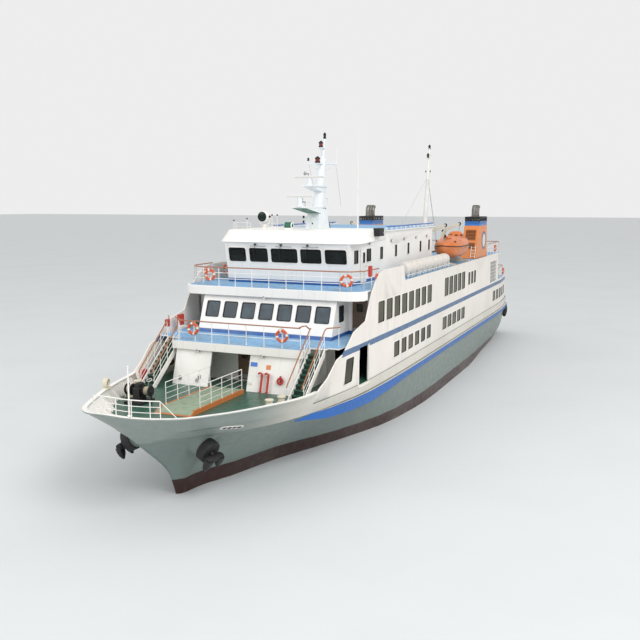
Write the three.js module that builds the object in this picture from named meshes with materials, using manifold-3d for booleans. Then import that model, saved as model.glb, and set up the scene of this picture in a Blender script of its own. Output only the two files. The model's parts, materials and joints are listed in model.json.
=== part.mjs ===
// Passenger ferry, built as a half-size scale model afloat at its own waterline.
// All sizes below are metres of the full-size ship; the last step scales them to model millimetres.
// +X runs to the bow, +Y to port, +Z up; the origin is on the waterline amidships on the centreline.
import * as THREE from 'three';
import { mergeVertices } from 'three/addons/utils/BufferGeometryUtils.js';
import Module from 'manifold-3d';

const wasm = await Module();
wasm.setup();

const MODEL_SCALE = 1 / 2;
const MM_PER_METRE = 1000 * MODEL_SCALE;

// Gaps between pieces that touch, and round pieces that move
// Where two plates of one piece meet, one stands this far inside the other's faces
const LAP = 0.004;
const SEAM = 0.0006;
const RUN = 0.012;

// Levels above the waterline
const MAIN_DECK = 3.9;
const DECK_2 = 6.25;
const DECK_3 = 8.9;
const TOP_DECK = 12.0;
const ROOF_EAVE = 11.37;
const ROOF_TOP = 12.1;
const RAIL_LEVEL = 3.05;
const KEEL = -2.8;

// Plating and deck thicknesses
const PLATE = 0.08;
const DECK_PLATE = 0.08;
const RAIL_HEIGHT = 1.08;
const TUBE = 0.035;
const TUBE_SIDES = 4;

// Half-breadths of the houses
const HOUSE_HALF = 3.75;
const SALOON_HALF = 4.25;
const BRIDGE_HALF = 4.1;

const PORT = 1;
const STARBOARD = -1;
const SIDES = [['port', PORT], ['starboard', STARBOARD]];

const PAINT = {
  white: [0xe9e9e4, 0.45, 0.0],
  cream: [0xdcdad2, 0.5, 0.0],
  blue: [0x2a66b4, 0.45, 0.0],
  deckBlue: [0x7fa9d6, 0.6, 0.0],
  deckGreen: [0x3f6b52, 0.75, 0.0],
  orange: [0xd9793b, 0.5, 0.0],
  lifeOrange: [0xe0672a, 0.45, 0.0],
  black: [0x1c1d1f, 0.55, 0.0],
  steel: [0x9a9da0, 0.35, 0.8],
  bronze: [0xb08a4a, 0.3, 0.9],
  brown: [0x6b4630, 0.6, 0.0],
  anchorBlack: [0x222326, 0.7, 0.1],
};

const group = new THREE.Group();

// Joining and cutting

// Corners are put on a fine grid, so that faces meant to be flush are exactly flush
const GRID_PER_METRE = 1e5;

function toSolid(geometry) {
  const bare = new THREE.BufferGeometry();
  const onGrid = (value) => Math.round(value * GRID_PER_METRE) / GRID_PER_METRE;
  const corners = Float32Array.from(geometry.getAttribute('position').array, onGrid);
  bare.setAttribute('position', new THREE.BufferAttribute(corners, 3));
  if (geometry.index) bare.setIndex(geometry.index);
  const welded = mergeVertices(bare, 1e-5);
  const triangles = [];
  const index = welded.index.array;
  for (let i = 0; i < index.length; i += 3) {
    const [a, b, c] = [index[i], index[i + 1], index[i + 2]];
    if (a !== b && b !== c && c !== a) triangles.push(a, b, c);
  }
  const mesh = new wasm.Mesh({
    numProp: 3,
    vertProperties: new Float32Array(welded.getAttribute('position').array),
    triVerts: new Uint32Array(triangles),
  });
  return new wasm.Manifold(mesh);
}

function join(solids) {
  return solids.reduce((whole, piece) => whole.add(piece));
}

function cut(solid, tools) {
  return tools.length ? solid.subtract(join(tools)) : solid;
}

// Slivers thinner than this are dropped from a finished piece
const SLIVER = 0.00005;

function place(name, solid, paint) {
  const mesh = solid.simplify(SLIVER).getMesh();
  const geometry = new THREE.BufferGeometry();
  const positions = Float32Array.from(mesh.vertProperties);
  geometry.setAttribute('position', new THREE.BufferAttribute(positions, 3));
  geometry.setIndex(new THREE.BufferAttribute(Uint32Array.from(mesh.triVerts), 1));
  geometry.scale(MM_PER_METRE, MM_PER_METRE, MM_PER_METRE);
  geometry.computeVertexNormals();
  const [color, roughness, metalness] = paint;
  const material = new THREE.MeshStandardMaterial({ color, roughness, metalness });
  const node = new THREE.Mesh(geometry, material);
  node.name = name;
  group.add(node);
}

// Plain shapes

function box(x0, x1, y0, y1, z0, z1) {
  const [ya, yb] = y0 < y1 ? [y0, y1] : [y1, y0];
  const shape = new THREE.BoxGeometry(x1 - x0, yb - ya, z1 - z0);
  shape.translate((x0 + x1) / 2, (ya + yb) / 2, (z0 + z1) / 2);
  return toSolid(shape);
}

function prism(points, depth, basis, shift) {
  const outline = new THREE.Shape(points.map(([a, b]) => new THREE.Vector2(a, b)));
  const shape = new THREE.ExtrudeGeometry(outline, { depth, bevelEnabled: false });
  shape.applyMatrix4(new THREE.Matrix4().makeBasis(...basis));
  shape.translate(...shift);
  return toSolid(shape);
}

const X_AXIS = new THREE.Vector3(1, 0, 0);
const Y_AXIS = new THREE.Vector3(0, 1, 0);
const Z_AXIS = new THREE.Vector3(0, 0, 1);

// A side view outline (x, z) run from y0 to y1
function sideProfile(points, y0, y1) {
  const [ya, yb] = y0 < y1 ? [y0, y1] : [y1, y0];
  return prism(points, yb - ya, [X_AXIS, Z_AXIS, Y_AXIS.clone().negate()], [0, yb, 0]);
}

// A plan outline (x, y) run from z0 to z1
function planProfile(points, z0, z1) {
  return prism(points, z1 - z0, [X_AXIS, Y_AXIS, Z_AXIS], [0, 0, z0]);
}

// A cross-section outline (y, z) run from x0 to x1
function crossProfile(points, x0, x1) {
  return prism(points, x1 - x0, [Y_AXIS, Z_AXIS, X_AXIS], [x0, 0, 0]);
}

function bar(from, to, radius, sides = 6, endRadius = radius) {
  const a = new THREE.Vector3(...from);
  const b = new THREE.Vector3(...to);
  const run = b.clone().sub(a);
  const shape = new THREE.CylinderGeometry(endRadius, radius, run.length(), sides);
  const turn = new THREE.Quaternion().setFromUnitVectors(Y_AXIS, run.clone().normalize());
  shape.applyQuaternion(turn);
  const middle = a.add(b).multiplyScalar(0.5);
  shape.translate(middle.x, middle.y, middle.z);
  return toSolid(shape);
}

function pipe(points, radius, sides = 6) {
  const pieces = [];
  for (let i = 1; i < points.length; i += 1) pieces.push(bar(points[i - 1], points[i], radius, sides));
  for (let i = 1; i < points.length - 1; i += 1) {
    const knee = new THREE.SphereGeometry(radius * 1.1, sides, 3);
    knee.translate(...points[i]);
    pieces.push(toSolid(knee));
  }
  return join(pieces);
}

// Skins closed rings of equal count; the end rings are capped in the two axes named
function skin(rings, capAxes) {
  const count = rings[0].length;
  const positions = rings.flat(2);
  const index = [];
  for (let r = 0; r < rings.length - 1; r += 1) {
    for (let p = 0; p < count; p += 1) {
      const a = r * count + p;
      const b = r * count + ((p + 1) % count);
      index.push(a, b, b + count, a, b + count, a + count);
    }
  }
  const [u, v] = capAxes;
  const cap = (ring, first, flip) => {
    const outline = ring.map((point) => new THREE.Vector2(point[u], point[v]));
    for (const [a, b, c] of THREE.ShapeUtils.triangulateShape(outline, [])) {
      index.push(first + a, first + (flip ? c : b), first + (flip ? b : c));
    }
  };
  const last = rings.length - 1;
  const area = THREE.ShapeUtils.area(rings[0].map((point) => new THREE.Vector2(point[u], point[v])));
  const endArea = THREE.ShapeUtils.area(rings[last].map((point) => new THREE.Vector2(point[u], point[v])));
  cap(rings[0], 0, area > 0);
  if (Math.abs(endArea) > 1e-6) cap(rings[last], last * count, endArea < 0);
  const build = (list) => {
    const shape = new THREE.BufferGeometry();
    shape.setAttribute('position', new THREE.BufferAttribute(new Float32Array(positions), 3));
    shape.setIndex(list);
    return toSolid(shape);
  };
  const solid = build(index);
  if (solid.volume() > 0) return solid;
  const turned = [];
  for (let i = 0; i < index.length; i += 3) turned.push(index[i], index[i + 2], index[i + 1]);
  return build(turned);
}

function between(table, x, column) {
  for (let i = 1; i < table.length; i += 1) {
    const [a, b] = [table[i - 1], table[i]];
    if (x <= b[0] || i === table.length - 1) {
      const t = Math.min(1, Math.max(0, (x - a[0]) / (b[0] - a[0])));
      return a[column] + (b[column] - a[column]) * t;
    }
  }
  return table[0][column];
}

// Adds rows between those of a table, on smooth curves that never overshoot. The curves run along
// the distance in x and in the column that is given.
function faired(rows, across, spans) {
  const run = [0];
  for (let i = 1; i < rows.length; i += 1) {
    run.push(run[i - 1] + Math.hypot(rows[i][0] - rows[i - 1][0], rows[i][across] - rows[i - 1][across]));
  }
  const secant = (i, column) => (rows[i + 1][column] - rows[i][column]) / (run[i + 1] - run[i]);
  const slope = (i, column) => {
    if (i === 0) return secant(0, column);
    if (i === rows.length - 1) return secant(i - 1, column);
    const [before, after] = [secant(i - 1, column), secant(i, column)];
    return before * after > 0 ? (2 * before * after) / (before + after) : 0;
  };
  const smooth = [];
  for (let i = 0; i < rows.length - 1; i += 1) {
    const length = run[i + 1] - run[i];
    for (let k = 0; k < spans; k += 1) {
      const t = k / spans;
      smooth.push(rows[i].map((value, column) => {
        const [t2, t3] = [t * t, t * t * t];
        const ends = (2 * t3 - 3 * t2 + 1) * value + (3 * t2 - 2 * t3) * rows[i + 1][column];
        return ends + length * ((t3 - 2 * t2 + t) * slope(i, column) + (t3 - t2) * slope(i + 1, column));
      }));
    }
  }
  smooth.push(rows[rows.length - 1]);
  return smooth;
}

// Guard rails: posts along a line of deck points, with the tubes at the heights given
function guardRail(line, heights, spacing, radius = TUBE) {
  const pieces = [];
  for (let i = 1; i < line.length; i += 1) {
    const [a, b] = [line[i - 1], line[i]];
    const length = Math.hypot(b[0] - a[0], b[1] - a[1], b[2] - a[2]);
    const bays = Math.max(1, Math.round(length / spacing));
    for (let k = i === 1 ? 0 : 1; k <= bays; k += 1) {
      const at = a.map((value, axis) => value + ((b[axis] - value) * k) / bays);
      pieces.push(bar([at[0], at[1], at[2] + SEAM], [at[0], at[1], at[2] + heights[0]], radius * 0.8,
        TUBE_SIDES));
    }
  }
  for (const height of heights) {
    pieces.push(pipe(line.map(([x, y, z]) => [x, y, z + height]), radius, TUBE_SIDES));
  }
  return join(pieces);
}

// Hull

// Stations from the transom to the stem. Columns: x, keel z, then y and z of the bottom, the bilge,
// the waterline and the rub rail knuckle, and last the half-breadth at the main deck.
const HULL = [
  [-29.7, -0.15, 2.6, -0.12, 4.3, 0.25, 5.0, 1.0, 5.4, RAIL_LEVEL, 5.45],
  [-24.0, -0.9, 3.0, -0.85, 5.0, -0.2, 5.6, 0.9, 5.95, RAIL_LEVEL, 5.97],
  [-18.0, -2.1, 2.6, -2.0, 5.0, -1.0, 5.8, 0.7, 6.0, RAIL_LEVEL, 6.0],
  [-10.0, KEEL, 3.4, -2.75, 5.3, -1.7, 6.0, 0.0, 6.0, RAIL_LEVEL, 6.0],
  [0.0, KEEL, 4.2, -2.75, 5.7, -1.7, 6.0, -0.4, 6.0, RAIL_LEVEL, 6.0],
  [8.0, KEEL, 3.2, -2.7, 4.9, -1.6, 5.5, 0.3, 5.95, RAIL_LEVEL, 6.0],
  [14.0, KEEL, 1.6, -2.7, 3.0, -1.6, 3.9, 0.5, 5.75, RAIL_LEVEL, 5.9],
  [18.5, KEEL, 0.7, -2.65, 1.5, -1.5, 2.2, 0.8, 5.1, 3.07, 5.5],
  [21.5, -2.75, 0.3, -2.55, 0.75, -1.3, 1.35, 0.8, 4.3, 3.15, 4.95],
  [24.0, -1.8, 0.1, -1.5, 0.22, -0.6, 0.45, 0.8, 3.2, 3.3, 4.05],
  [25.2, 1.1, 0.1, 1.3, 0.3, 1.55, 0.65, 1.95, 2.4, 3.37, 3.35],
  [26.3, 2.2, 0.18, 2.4, 0.45, 2.65, 0.9, 2.95, 1.55, 3.42, 2.6],
  [27.4, 3.1, 0.2, 3.25, 0.5, 3.4, 0.85, 3.55, 1.2, 3.7, 1.6],
  [28.2, 3.9, 0, 3.9, 0, 3.9, 0, 3.9, 0, 3.9, 0],
];
const HULL_DECK_COLUMN = 10;
const HULL_LINES = faired(HULL, HULL_DECK_COLUMN, 3);

function deckHalf(x) {
  return between(HULL_LINES, x, HULL_DECK_COLUMN);
}

function hullRing([x, keel, ...rest]) {
  const knots = [];
  for (let i = 0; i < 8; i += 2) knots.push([rest[i], rest[i + 1]]);
  knots.push([rest[8], MAIN_DECK]);
  const port = knots.map(([y, z]) => [x, y, z]);
  const starboard = knots.map(([y, z]) => [x, -y, z]).reverse();
  return [[x, 0, keel], ...port, ...starboard];
}

const SHAFT = { y: 2.5, z: -1.72, radius: 0.13, end: 0.45 };
const PROPELLER_X = -25.4;
const RUDDER_X = -27.3;

function buildHull() {
  const pieces = [skin(HULL_LINES.map(hullRing), [1, 2])];
  for (const [, side] of SIDES) {
    const y = side * SHAFT.y;
    pieces.push(bar([-18.5, y, SHAFT.z + 0.1], [PROPELLER_X + SHAFT.end, y, SHAFT.z], SHAFT.radius, 12));
    for (const lean of [-0.5, 0.7]) {
      pieces.push(bar([PROPELLER_X + 0.8, y, SHAFT.z], [PROPELLER_X + 0.8, y + lean * side, -0.5], 0.07, 6));
    }
    pieces.push(bar([RUDDER_X, y, -0.75], [RUDDER_X, y, -0.2], 0.28, 12));
    // Anchor bolster on the flare
    const [from, to] = [BOLSTER.from, BOLSTER.to].map(([bx, by, bz]) => [bx, by * side, bz]);
    pieces.push(bar(from, to, BOLSTER.radius, 16));
  }
  return join(pieces);
}

// Bow bulwark with its rounded cap. Columns: x, y and z of the cap, and x of the foot on the deck edge.
const BOW_CAP = [
  [20.5, 5.5, 4.6, 20.5],
  [21.5, 5.3, 4.55, 21.5],
  [22.5, 5.04, 4.56, 22.35],
  [23.5, 4.68, 4.59, 23.2],
  [24.5, 4.3, 4.62, 24.1],
  [25.5, 3.85, 4.65, 25.0],
  [26.5, 3.35, 4.7, 25.8],
  [27.8, 2.64, 4.79, 26.9],
  [28.5, 2.1, 4.88, 27.4],
  [29.1, 1.45, 4.98, 27.8],
  [29.5, 0.75, 5.08, 28.05],
  [29.65, 0, 5.15, 28.19],
];
const CAP = { out: 0.06, in: 0.16, depth: 0.07 };

// Each ring runs up the outside, over the cap and down the inside
function bulwarkRing([x, y, z, footX], inward) {
  const footY = Math.sign(y) * Math.max(0, deckHalf(footX) - 0.01);
  const foot = MAIN_DECK + SEAM;
  const under = z - CAP.depth;
  const at = (offset, level, baseX, baseY) => [baseX + inward.x * offset, baseY + inward.y * offset, level];
  return [
    at(0, foot, footX, footY),
    at(0, under, x, y),
    at(-CAP.out, under, x, y),
    at(-CAP.out, z, x, y),
    at(CAP.in, z, x, y),
    at(CAP.in, under, x, y),
    at(PLATE, under, x, y),
    at(PLATE, foot, footX, footY),
  ];
}

function inwardAt(line, i) {
  if (i === 0) return new THREE.Vector2(0, -1);
  if (i === line.length - 1) return new THREE.Vector2(0, 1);
  const run = new THREE.Vector2(line[i + 1][0] - line[i - 1][0], line[i + 1][1] - line[i - 1][1]).normalize();
  return new THREE.Vector2(run.y, -run.x);
}

function mirrorRings(rings) {
  return rings.map((ring) => ring.map(([x, y, z]) => [x, -y, z])).reverse();
}

const STARBOARD_CAP = BOW_CAP.slice(0, -1).map(([x, y, ...rest]) => [x, -y, ...rest]).reverse();
const CAP_LINE = faired([...BOW_CAP, ...STARBOARD_CAP], 1, 2);

function buildBulwark() {
  return skin(CAP_LINE.map((row, i) => bulwarkRing(row, inwardAt(CAP_LINE, i))), [1, 2]);
}

// The point in the middle of the cap's width at a given y, this far below its top and inboard of the middle
function capPoint(y, sink, inboard = 0) {
  const i = CAP_LINE.findIndex((row) => row[1] <= y);
  const [before, after] = [CAP_LINE[i - 1], CAP_LINE[i]];
  const t = (before[1] - y) / (before[1] - after[1]);
  const run = new THREE.Vector2(after[0] - before[0], after[1] - before[1]).normalize();
  const shift = (CAP.in - CAP.out) / 2 + inboard;
  const [x, , z] = before.map((value, column) => value + (after[column] - value) * t);
  return [x + run.y * shift, y - run.x * shift, z - sink];
}

// Side shells: main deck up to the rails of deck 2 and deck 3.
// Columns: x and z of the top edge, stern to bow.
const SHELL_TOP = [
  [-28.0, 6.32],
  [-24.0, 6.32],
  [-22.4, 6.32],
  [-22.15, 8.95],
  [-18.0, 8.95],
  [8.0, 8.95],
  [8.3, 9.9],
  [11.8, 9.9],
  [12.6, 9.75],
  [13.3, 9.35],
  [13.9, 8.8],
  [14.2, 8.39],
  [14.9, 7.32],
  [16.6, 6.95],
  [17.2, 6.5],
  [17.95, 6.0],
  [18.6, 5.84],
  [19.14, 5.43],
  [19.6, 5.06],
  [20.17, 4.78],
  [20.49, 4.6],
];
// Columns: x and how far the top edge leans out beyond the foot
const SHELL_FLARE = [[12, 0], [14, 0.06], [17.95, 0.3], [20.5, 0.4]];

// Openings in each shell. Columns: first x, width, pitch, count, sill z, head z
const SHELL_WINDOWS = [
  [1.84, 1.13, 1.425, 8, 6.9, 8.15],
  [-8.2, 1.18, 1.34, 5, 6.86, 8.25],
  [-12.2, 0.82, 1.06, 3, 7.0, 8.05],
  [1.9, 1.05, 1.42, 6, 4.4, 5.35],
  [-8.35, 1.25, 1.46, 5, 4.4, 5.35],
  [-27.1, 1.2, 1.5, 5, 4.43, 5.4],
  [-21.3, 3.0, 3.0, 1, 6.3, 8.3],
  [16.45, 1.05, 1.05, 1, 4.25, 5.65],
  [14.3, 1.4, 1.4, 1, 3.8, 5.95],
];

function buildShell(side) {
  const rings = SHELL_TOP.map(([x, top]) => {
    const foot = deckHalf(x) - 0.05;
    const head = foot + between(SHELL_FLARE, x, 1);
    const low = MAIN_DECK + SEAM;
    return [[x, foot, low], [x, head, top], [x, head - PLATE, top], [x, foot - PLATE, low]]
      .map(([px, py, pz]) => [px, py * side, pz]);
  });
  const holes = [];
  for (const [x, width, pitch, count, sill, head] of SHELL_WINDOWS) {
    for (let k = 0; k < count; k += 1) {
      holes.push(box(x + k * pitch, x + k * pitch + width, side * 5.2, side * 6.3, sill, head));
    }
  }
  return cut(skin(rings, [1, 2]), holes);
}

// Rub rail around the hull at the knuckle, deeper at the bow. Columns: x, half-breadth of the hull,
// how far it stands out, z of its lower and its upper edge
const RUB_RAIL = [
  [20.9, 4.46, 0.03, 3.06, 3.26],
  [20.0, 4.7, 0.16, 2.96, 3.27],
  [18.5, 5.1, 0.2, 2.76, 3.26],
  [14.0, 5.75, 0.15, 2.58, 3.21],
  [8.0, 5.95, 0.15, 2.8, 3.21],
  [0.0, 6.0, 0.15, 2.89, 3.21],
  [-18.0, 6.0, 0.15, 2.89, 3.21],
  [-24.0, 5.95, 0.15, 2.89, 3.21],
  [-29.7, 5.4, 0.15, 2.89, 3.21],
];
const RUB_ROOT = 0.8;

function buildRubRail(hull) {
  const line = faired(RUB_RAIL, 1, 2).map(([x, y, out, low, high]) => ({ x, y, out, low, high, nx: 0,
    ny: 1 }));
  const corner = line[line.length - 1];
  corner.nx = -1;
  const ring = ({ x, y, out, low, high, nx, ny }) => {
    const inner = [x - nx * RUB_ROOT, y - ny * RUB_ROOT];
    const outer = [x + nx * out, y + ny * out];
    return [[...inner, low], [...inner, high], [...outer, high], [...outer, low]];
  };
  const port = line.map(ring);
  const whole = skin([...port, ...mirrorRings(port)], [1, 2]);
  return whole.subtract(hull.scale([1.00003, 1.00015, 1]));
}

// Decks

// Half-breadth of the decks inside the shells. Columns: x, y
const DECK_EDGE = [[-28, 5.43], [-24, 5.8], [-18, 5.84], [8, 5.84], [10, 5.8], [14, 5.7], [17.8, 5.5]];
const DECK_2_FRONT = [[17.8, 5.5]];
const DECK_3_FRONT = [[14.05, 5.68], [14.6, 5.6], [14.95, 5.32], [15.14, 4.9], [15.2, 4.0]];
const DECK_3_AFT = -23.9;

function symmetric(points) {
  return [...points, ...points.map(([x, y]) => [x, -y]).reverse()];
}

function deckOutline(aft, front) {
  const last = front[0][0];
  const edge = DECK_EDGE.filter(([x]) => x > aft && x < last).map(([x, y]) => [x, y]);
  return symmetric([[aft, between(DECK_EDGE, aft, 1)], ...edge, ...front]);
}

function buildDeck2() {
  return planProfile(deckOutline(-28, DECK_2_FRONT), DECK_2 - DECK_PLATE, DECK_2);
}

function buildDeck3() {
  return planProfile(deckOutline(DECK_3_AFT, DECK_3_FRONT), DECK_3 - DECK_PLATE, DECK_3);
}

// The balcony before the saloon, with the two stair heads and its deep fascia. Columns: x, y
const BALCONY = [[17.8 + SEAM, 4.92], [18.1, 4.92], [18.1, 3.9], [19.0, 3.9]];

function buildFascia2() {
  const floor = planProfile(symmetric(BALCONY), DECK_2 - DECK_PLATE, DECK_2);
  const front = box(18.86, 19.02, -3.94, 3.94, 5.8, DECK_2 - LAP);
  const returns = SIDES.map(([, side]) => box(18.14, 18.9, side * 3.81, side * 3.938, 5.804, DECK_2 - LAP));
  return join([floor, front, ...returns]);
}

const FASCIA_3_OUTER = [[15.34, 4.02], [15.28, 4.97], [15.06, 5.43], [14.68, 5.72], [14.24, 5.75]];

function buildFascia3() {
  const outer = FASCIA_3_OUTER;
  const inner = [...DECK_3_FRONT].reverse().map(([x, y]) => [x + SEAM * 1.5, y]);
  const mirrored = (points) => points.map(([x, y]) => [x, -y]);
  const outline = [...mirrored(outer).reverse(), ...outer, ...[...inner].reverse(), ...mirrored(inner)];
  return planProfile(outline, 8.38, DECK_3);
}

// Houses

// A raked front wall: the foot and head are the x of its outer face at the two levels
function rakedWall(footX, headX, half, low, high) {
  return sideProfile([[footX, low], [headX, high], [headX - PLATE, high], [footX - PLATE, low]], -half, half);
}

// A raked front with the two side walls behind it, open aft, above and below
function rakedHouse(foot, head, aft, half, low, high) {
  const lean = (head - foot) / (high - low);
  const at = (z, back) => [foot + lean * (z - low) - back, z];
  const outer = sideProfile([[aft, low], at(low, 0), at(high, 0), [aft, high]], -half, half);
  const [under, over] = [low - 0.5, high + 0.5];
  const hollow = [[aft - 1, under], at(under, PLATE), at(over, PLATE), [aft - 1, over]];
  return cut(outer, [sideProfile(hollow, -half + PLATE, half - PLATE)]);
}

// Plates that close the side passages abaft the front
function houseWings(aft, half, wingHalf, low, high) {
  const x = aft + LAP;
  return SIDES.map(([, side]) => box(x, x + PLATE, side * (half - 0.03), side * wingHalf, low + LAP,
    high - LAP));
}

const MAIN_FRONT = { foot: 19.4, head: 18.73, wings: 15.2, wingHalf: 5.55 };
const ENTRANCE = { y0: -1.5, y1: 0.87, head: 5.75 };
const VESTIBULE_X = 17.2;
// A door leaf stands proud of its wall and laps the opening all round
const LEAF = { width: 0.9, height: 1.98, thick: 0.05, lap: 0.045, sill: 0.1 };
const ENTRANCE_DOOR_Y = -0.3;
const WING_DOOR_Y = 4.6;

// Lugs on the wall above and below a leaf, at its hinge edge
const LUG = { half: 0.03, depth: 0.06, bite: 0.02 };

function crossLugs(wallX, hingeY, deck) {
  const [from, to] = [wallX + PLATE - LUG.bite, leafX(wallX) + LEAF.thick];
  const low = deck + LEAF.sill - SEAM;
  const high = deck + LEAF.sill + LEAF.height + SEAM;
  const lug = (z0, z1) => box(from, to, hingeY - LUG.half, hingeY + LUG.half, z0, z1);
  return [lug(low - LUG.depth, low), lug(high, high + LUG.depth)];
}

// The x of a leaf's inner face, in front of a wall plate that starts at the given x
function leafX(wallX) {
  return wallX + PLATE + LAP + RUN;
}

function doorHole(x, y, low) {
  const half = LEAF.width / 2 - LEAF.lap;
  const sill = low + LEAF.sill;
  return box(x - 0.2, x + 0.3, y - half, y + half, sill + LEAF.lap, sill + LEAF.height - LEAF.lap);
}

function buildMainFront() {
  const low = MAIN_DECK + SEAM;
  const high = DECK_2 - DECK_PLATE - SEAM;
  const { foot, head, wings, wingHalf } = MAIN_FRONT;
  const pieces = [rakedHouse(foot, head, wings, HOUSE_HALF, low, high),
    ...houseWings(wings, HOUSE_HALF, wingHalf, low, high)];
  const inside = HOUSE_HALF - 0.03;
  pieces.push(box(VESTIBULE_X, VESTIBULE_X + PLATE, -inside, inside, low + 2 * LAP, high - 2 * LAP));
  pieces.push(...crossLugs(VESTIBULE_X, ENTRANCE_DOOR_Y - LEAF.width / 2, MAIN_DECK));
  const holes = [
    box(18.3, 20, ENTRANCE.y0, ENTRANCE.y1, low - 0.1, ENTRANCE.head),
    doorHole(VESTIBULE_X, ENTRANCE_DOOR_Y, low),
    ...SIDES.map(([, side]) => doorHole(wings, side * WING_DOOR_Y, low)),
  ];
  return cut(join(pieces), holes);
}

const SALOON_FRONT = { foot: 15.9, head: 14.9, wings: 13.2, wingHalf: 5.65 };
const SALOON_PANES = { count: 7, width: 0.86, pitch: 1.173, sill: 7.13, head: 8.01 };
const SALOON_DOOR_Y = 4.95;

function buildSaloonFront() {
  const low = DECK_2 + SEAM;
  const high = DECK_3 - DECK_PLATE - SEAM;
  const { foot, head, wings, wingHalf } = SALOON_FRONT;
  const pieces = [rakedHouse(foot, head, wings, SALOON_HALF, low, high),
    ...houseWings(wings, SALOON_HALF, wingHalf, low, high)];
  const { count, width, pitch, sill, head: top } = SALOON_PANES;
  const holes = [];
  for (let k = 0; k < count; k += 1) {
    const y = (k - (count - 1) / 2) * pitch;
    holes.push(box(14.5, 16.5, y - width / 2, y + width / 2, sill, top));
  }
  for (const [, side] of SIDES) {
    holes.push(box(14.1, 14.75, side * 4, side * 4.5, sill, top));
    holes.push(doorHole(wings, side * SALOON_DOOR_Y, low));
    pieces.push(...crossLugs(wings, side * (SALOON_DOOR_Y + LEAF.width / 2), DECK_2));
  }
  return cut(join(pieces), holes);
}

// A door leaf across the ship, with a pane hole
function crossLeaf(wallX, y, deck) {
  const x = leafX(wallX);
  const base = deck + LEAF.sill;
  const leaf = box(x, x + LEAF.thick, y - LEAF.width / 2, y + LEAF.width / 2, base, base + LEAF.height);
  return cut(leaf, [box(x - 0.1, x + 0.2, y - 0.2, y + 0.2, base + 1.2, base + 1.7)]);
}

const WHEELHOUSE = { foot: 12.5, head: 12.95, aft: 6.6 };
// Front panes of the wheelhouse. Columns: starboard edge y, port edge y
const BRIDGE_PANES = [[-3.88, -2.68], [-2.45, -1.18], [-0.98, 0.79], [0.97, 2.33], [2.54, 3.92]];
const BRIDGE_GLASS = { sill: 10.18, head: 11.04 };
const BRIDGE_DOOR = { x0: 10.22, x1: 11.1, head: 10.97 };

function buildWheelhouseFront() {
  const { foot, head } = WHEELHOUSE;
  const wall = rakedWall(foot, head, BRIDGE_HALF, DECK_3 + SEAM, ROOF_EAVE - SEAM);
  return cut(wall, BRIDGE_PANES.map(([y0, y1]) => box(12, 13.5, y0, y1, BRIDGE_GLASS.sill,
    BRIDGE_GLASS.head)));
}

function buildWheelhouseSide(side) {
  const { foot, head, aft } = WHEELHOUSE;
  const low = DECK_3 + SEAM;
  const high = ROOF_EAVE - SEAM;
  const back = PLATE + 2 * SEAM;
  const outline = [[aft, low], [foot - back, low], [head - back, high], [aft, high]];
  const plate = sideProfile(outline, side * (BRIDGE_HALF - PLATE), side * BRIDGE_HALF);
  const hinge = BRIDGE_DOOR.x1;
  const reach = BRIDGE_HALF + RUN + LEAF.thick;
  const [sill, top] = [DECK_3 + LEAF.sill - SEAM, BRIDGE_DOOR.head + SEAM];
  const lug = (z0, z1) => box(hinge - LUG.half, hinge + LUG.half, side * (BRIDGE_HALF - LUG.bite),
    side * reach, z0, z1);
  const wall = join([plate, lug(sill - LUG.depth, sill), lug(top, top + LUG.depth)]);
  const across = (x0, x1, z0, z1) => box(x0, x1, side * 3.9, side * 4.3, z0, z1);
  return cut(wall, [
    across(11.42, 12.17, 10.17, 10.97),
    across(9.22, 10.08, 10.17, 10.97),
    across(7.0, 7.6, 10.17, 10.97),
    across(BRIDGE_DOOR.x0 + LEAF.lap, BRIDGE_DOOR.x1 - LEAF.lap, low + LEAF.sill + LEAF.lap,
      BRIDGE_DOOR.head - LEAF.lap),
  ]);
}

function buildWheelhouseDoor(side) {
  const { x0, x1, head } = BRIDGE_DOOR;
  const y = side * (BRIDGE_HALF + RUN);
  const leaf = box(x0, x1, y, y + side * LEAF.thick, DECK_3 + LEAF.sill, head);
  return cut(leaf, [box(10.45, 10.87, side * 3.9, side * 4.3, 10.15, 10.8)]);
}

// Roof of the wheelhouse with its sloped eaves. Columns: x and y low on the eave, x and y at the top edge
const ROOF_EDGE = [
  [6.6, 4.14, 6.6, 4.12],
  [8.6, 4.18, 8.6, 4.14],
  [12.3, 4.65, 11.9, 4.3],
  [12.78, 4.45, 12.35, 4.12],
  [13.05, 4.05, 12.6, 3.8],
  [13.12, 2.0, 12.66, 2.0],
];
const SEARCHLIGHT = { x: 12.0, y: -1.82, z: 12.9 };

function buildRoof() {
  const low = symmetric(ROOF_EDGE.map(([x, y]) => [x, y])).map(([x, y]) => [x, y, ROOF_EAVE]);
  const high = symmetric(ROOF_EDGE.map(([, , x, y]) => [x, y])).map(([x, y]) => [x, y, ROOF_TOP]);
  const pedestal = bar([SEARCHLIGHT.x, SEARCHLIGHT.y, ROOF_TOP - 0.05],
    [SEARCHLIGHT.x, SEARCHLIGHT.y, 12.35], 0.12, 10);
  const drumFoot = box(11.75, 12.15, -0.4, 0.0, ROOF_TOP - 0.05, 12.24);
  const drum = bar([11.95, -0.45, 12.38], [11.95, 0.05, 12.38], 0.2, 12);
  return join([skin([low, high], [0, 1]), pedestal, drumFoot, drum]);
}

const DECKHOUSE_AFT = -4.7;
// Columns: first x, width
const DECKHOUSE_PANES = [[4.1, 0.5], [1.3, 0.5], [-1.7, 0.5], [-4.0, 0.5]];

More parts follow.
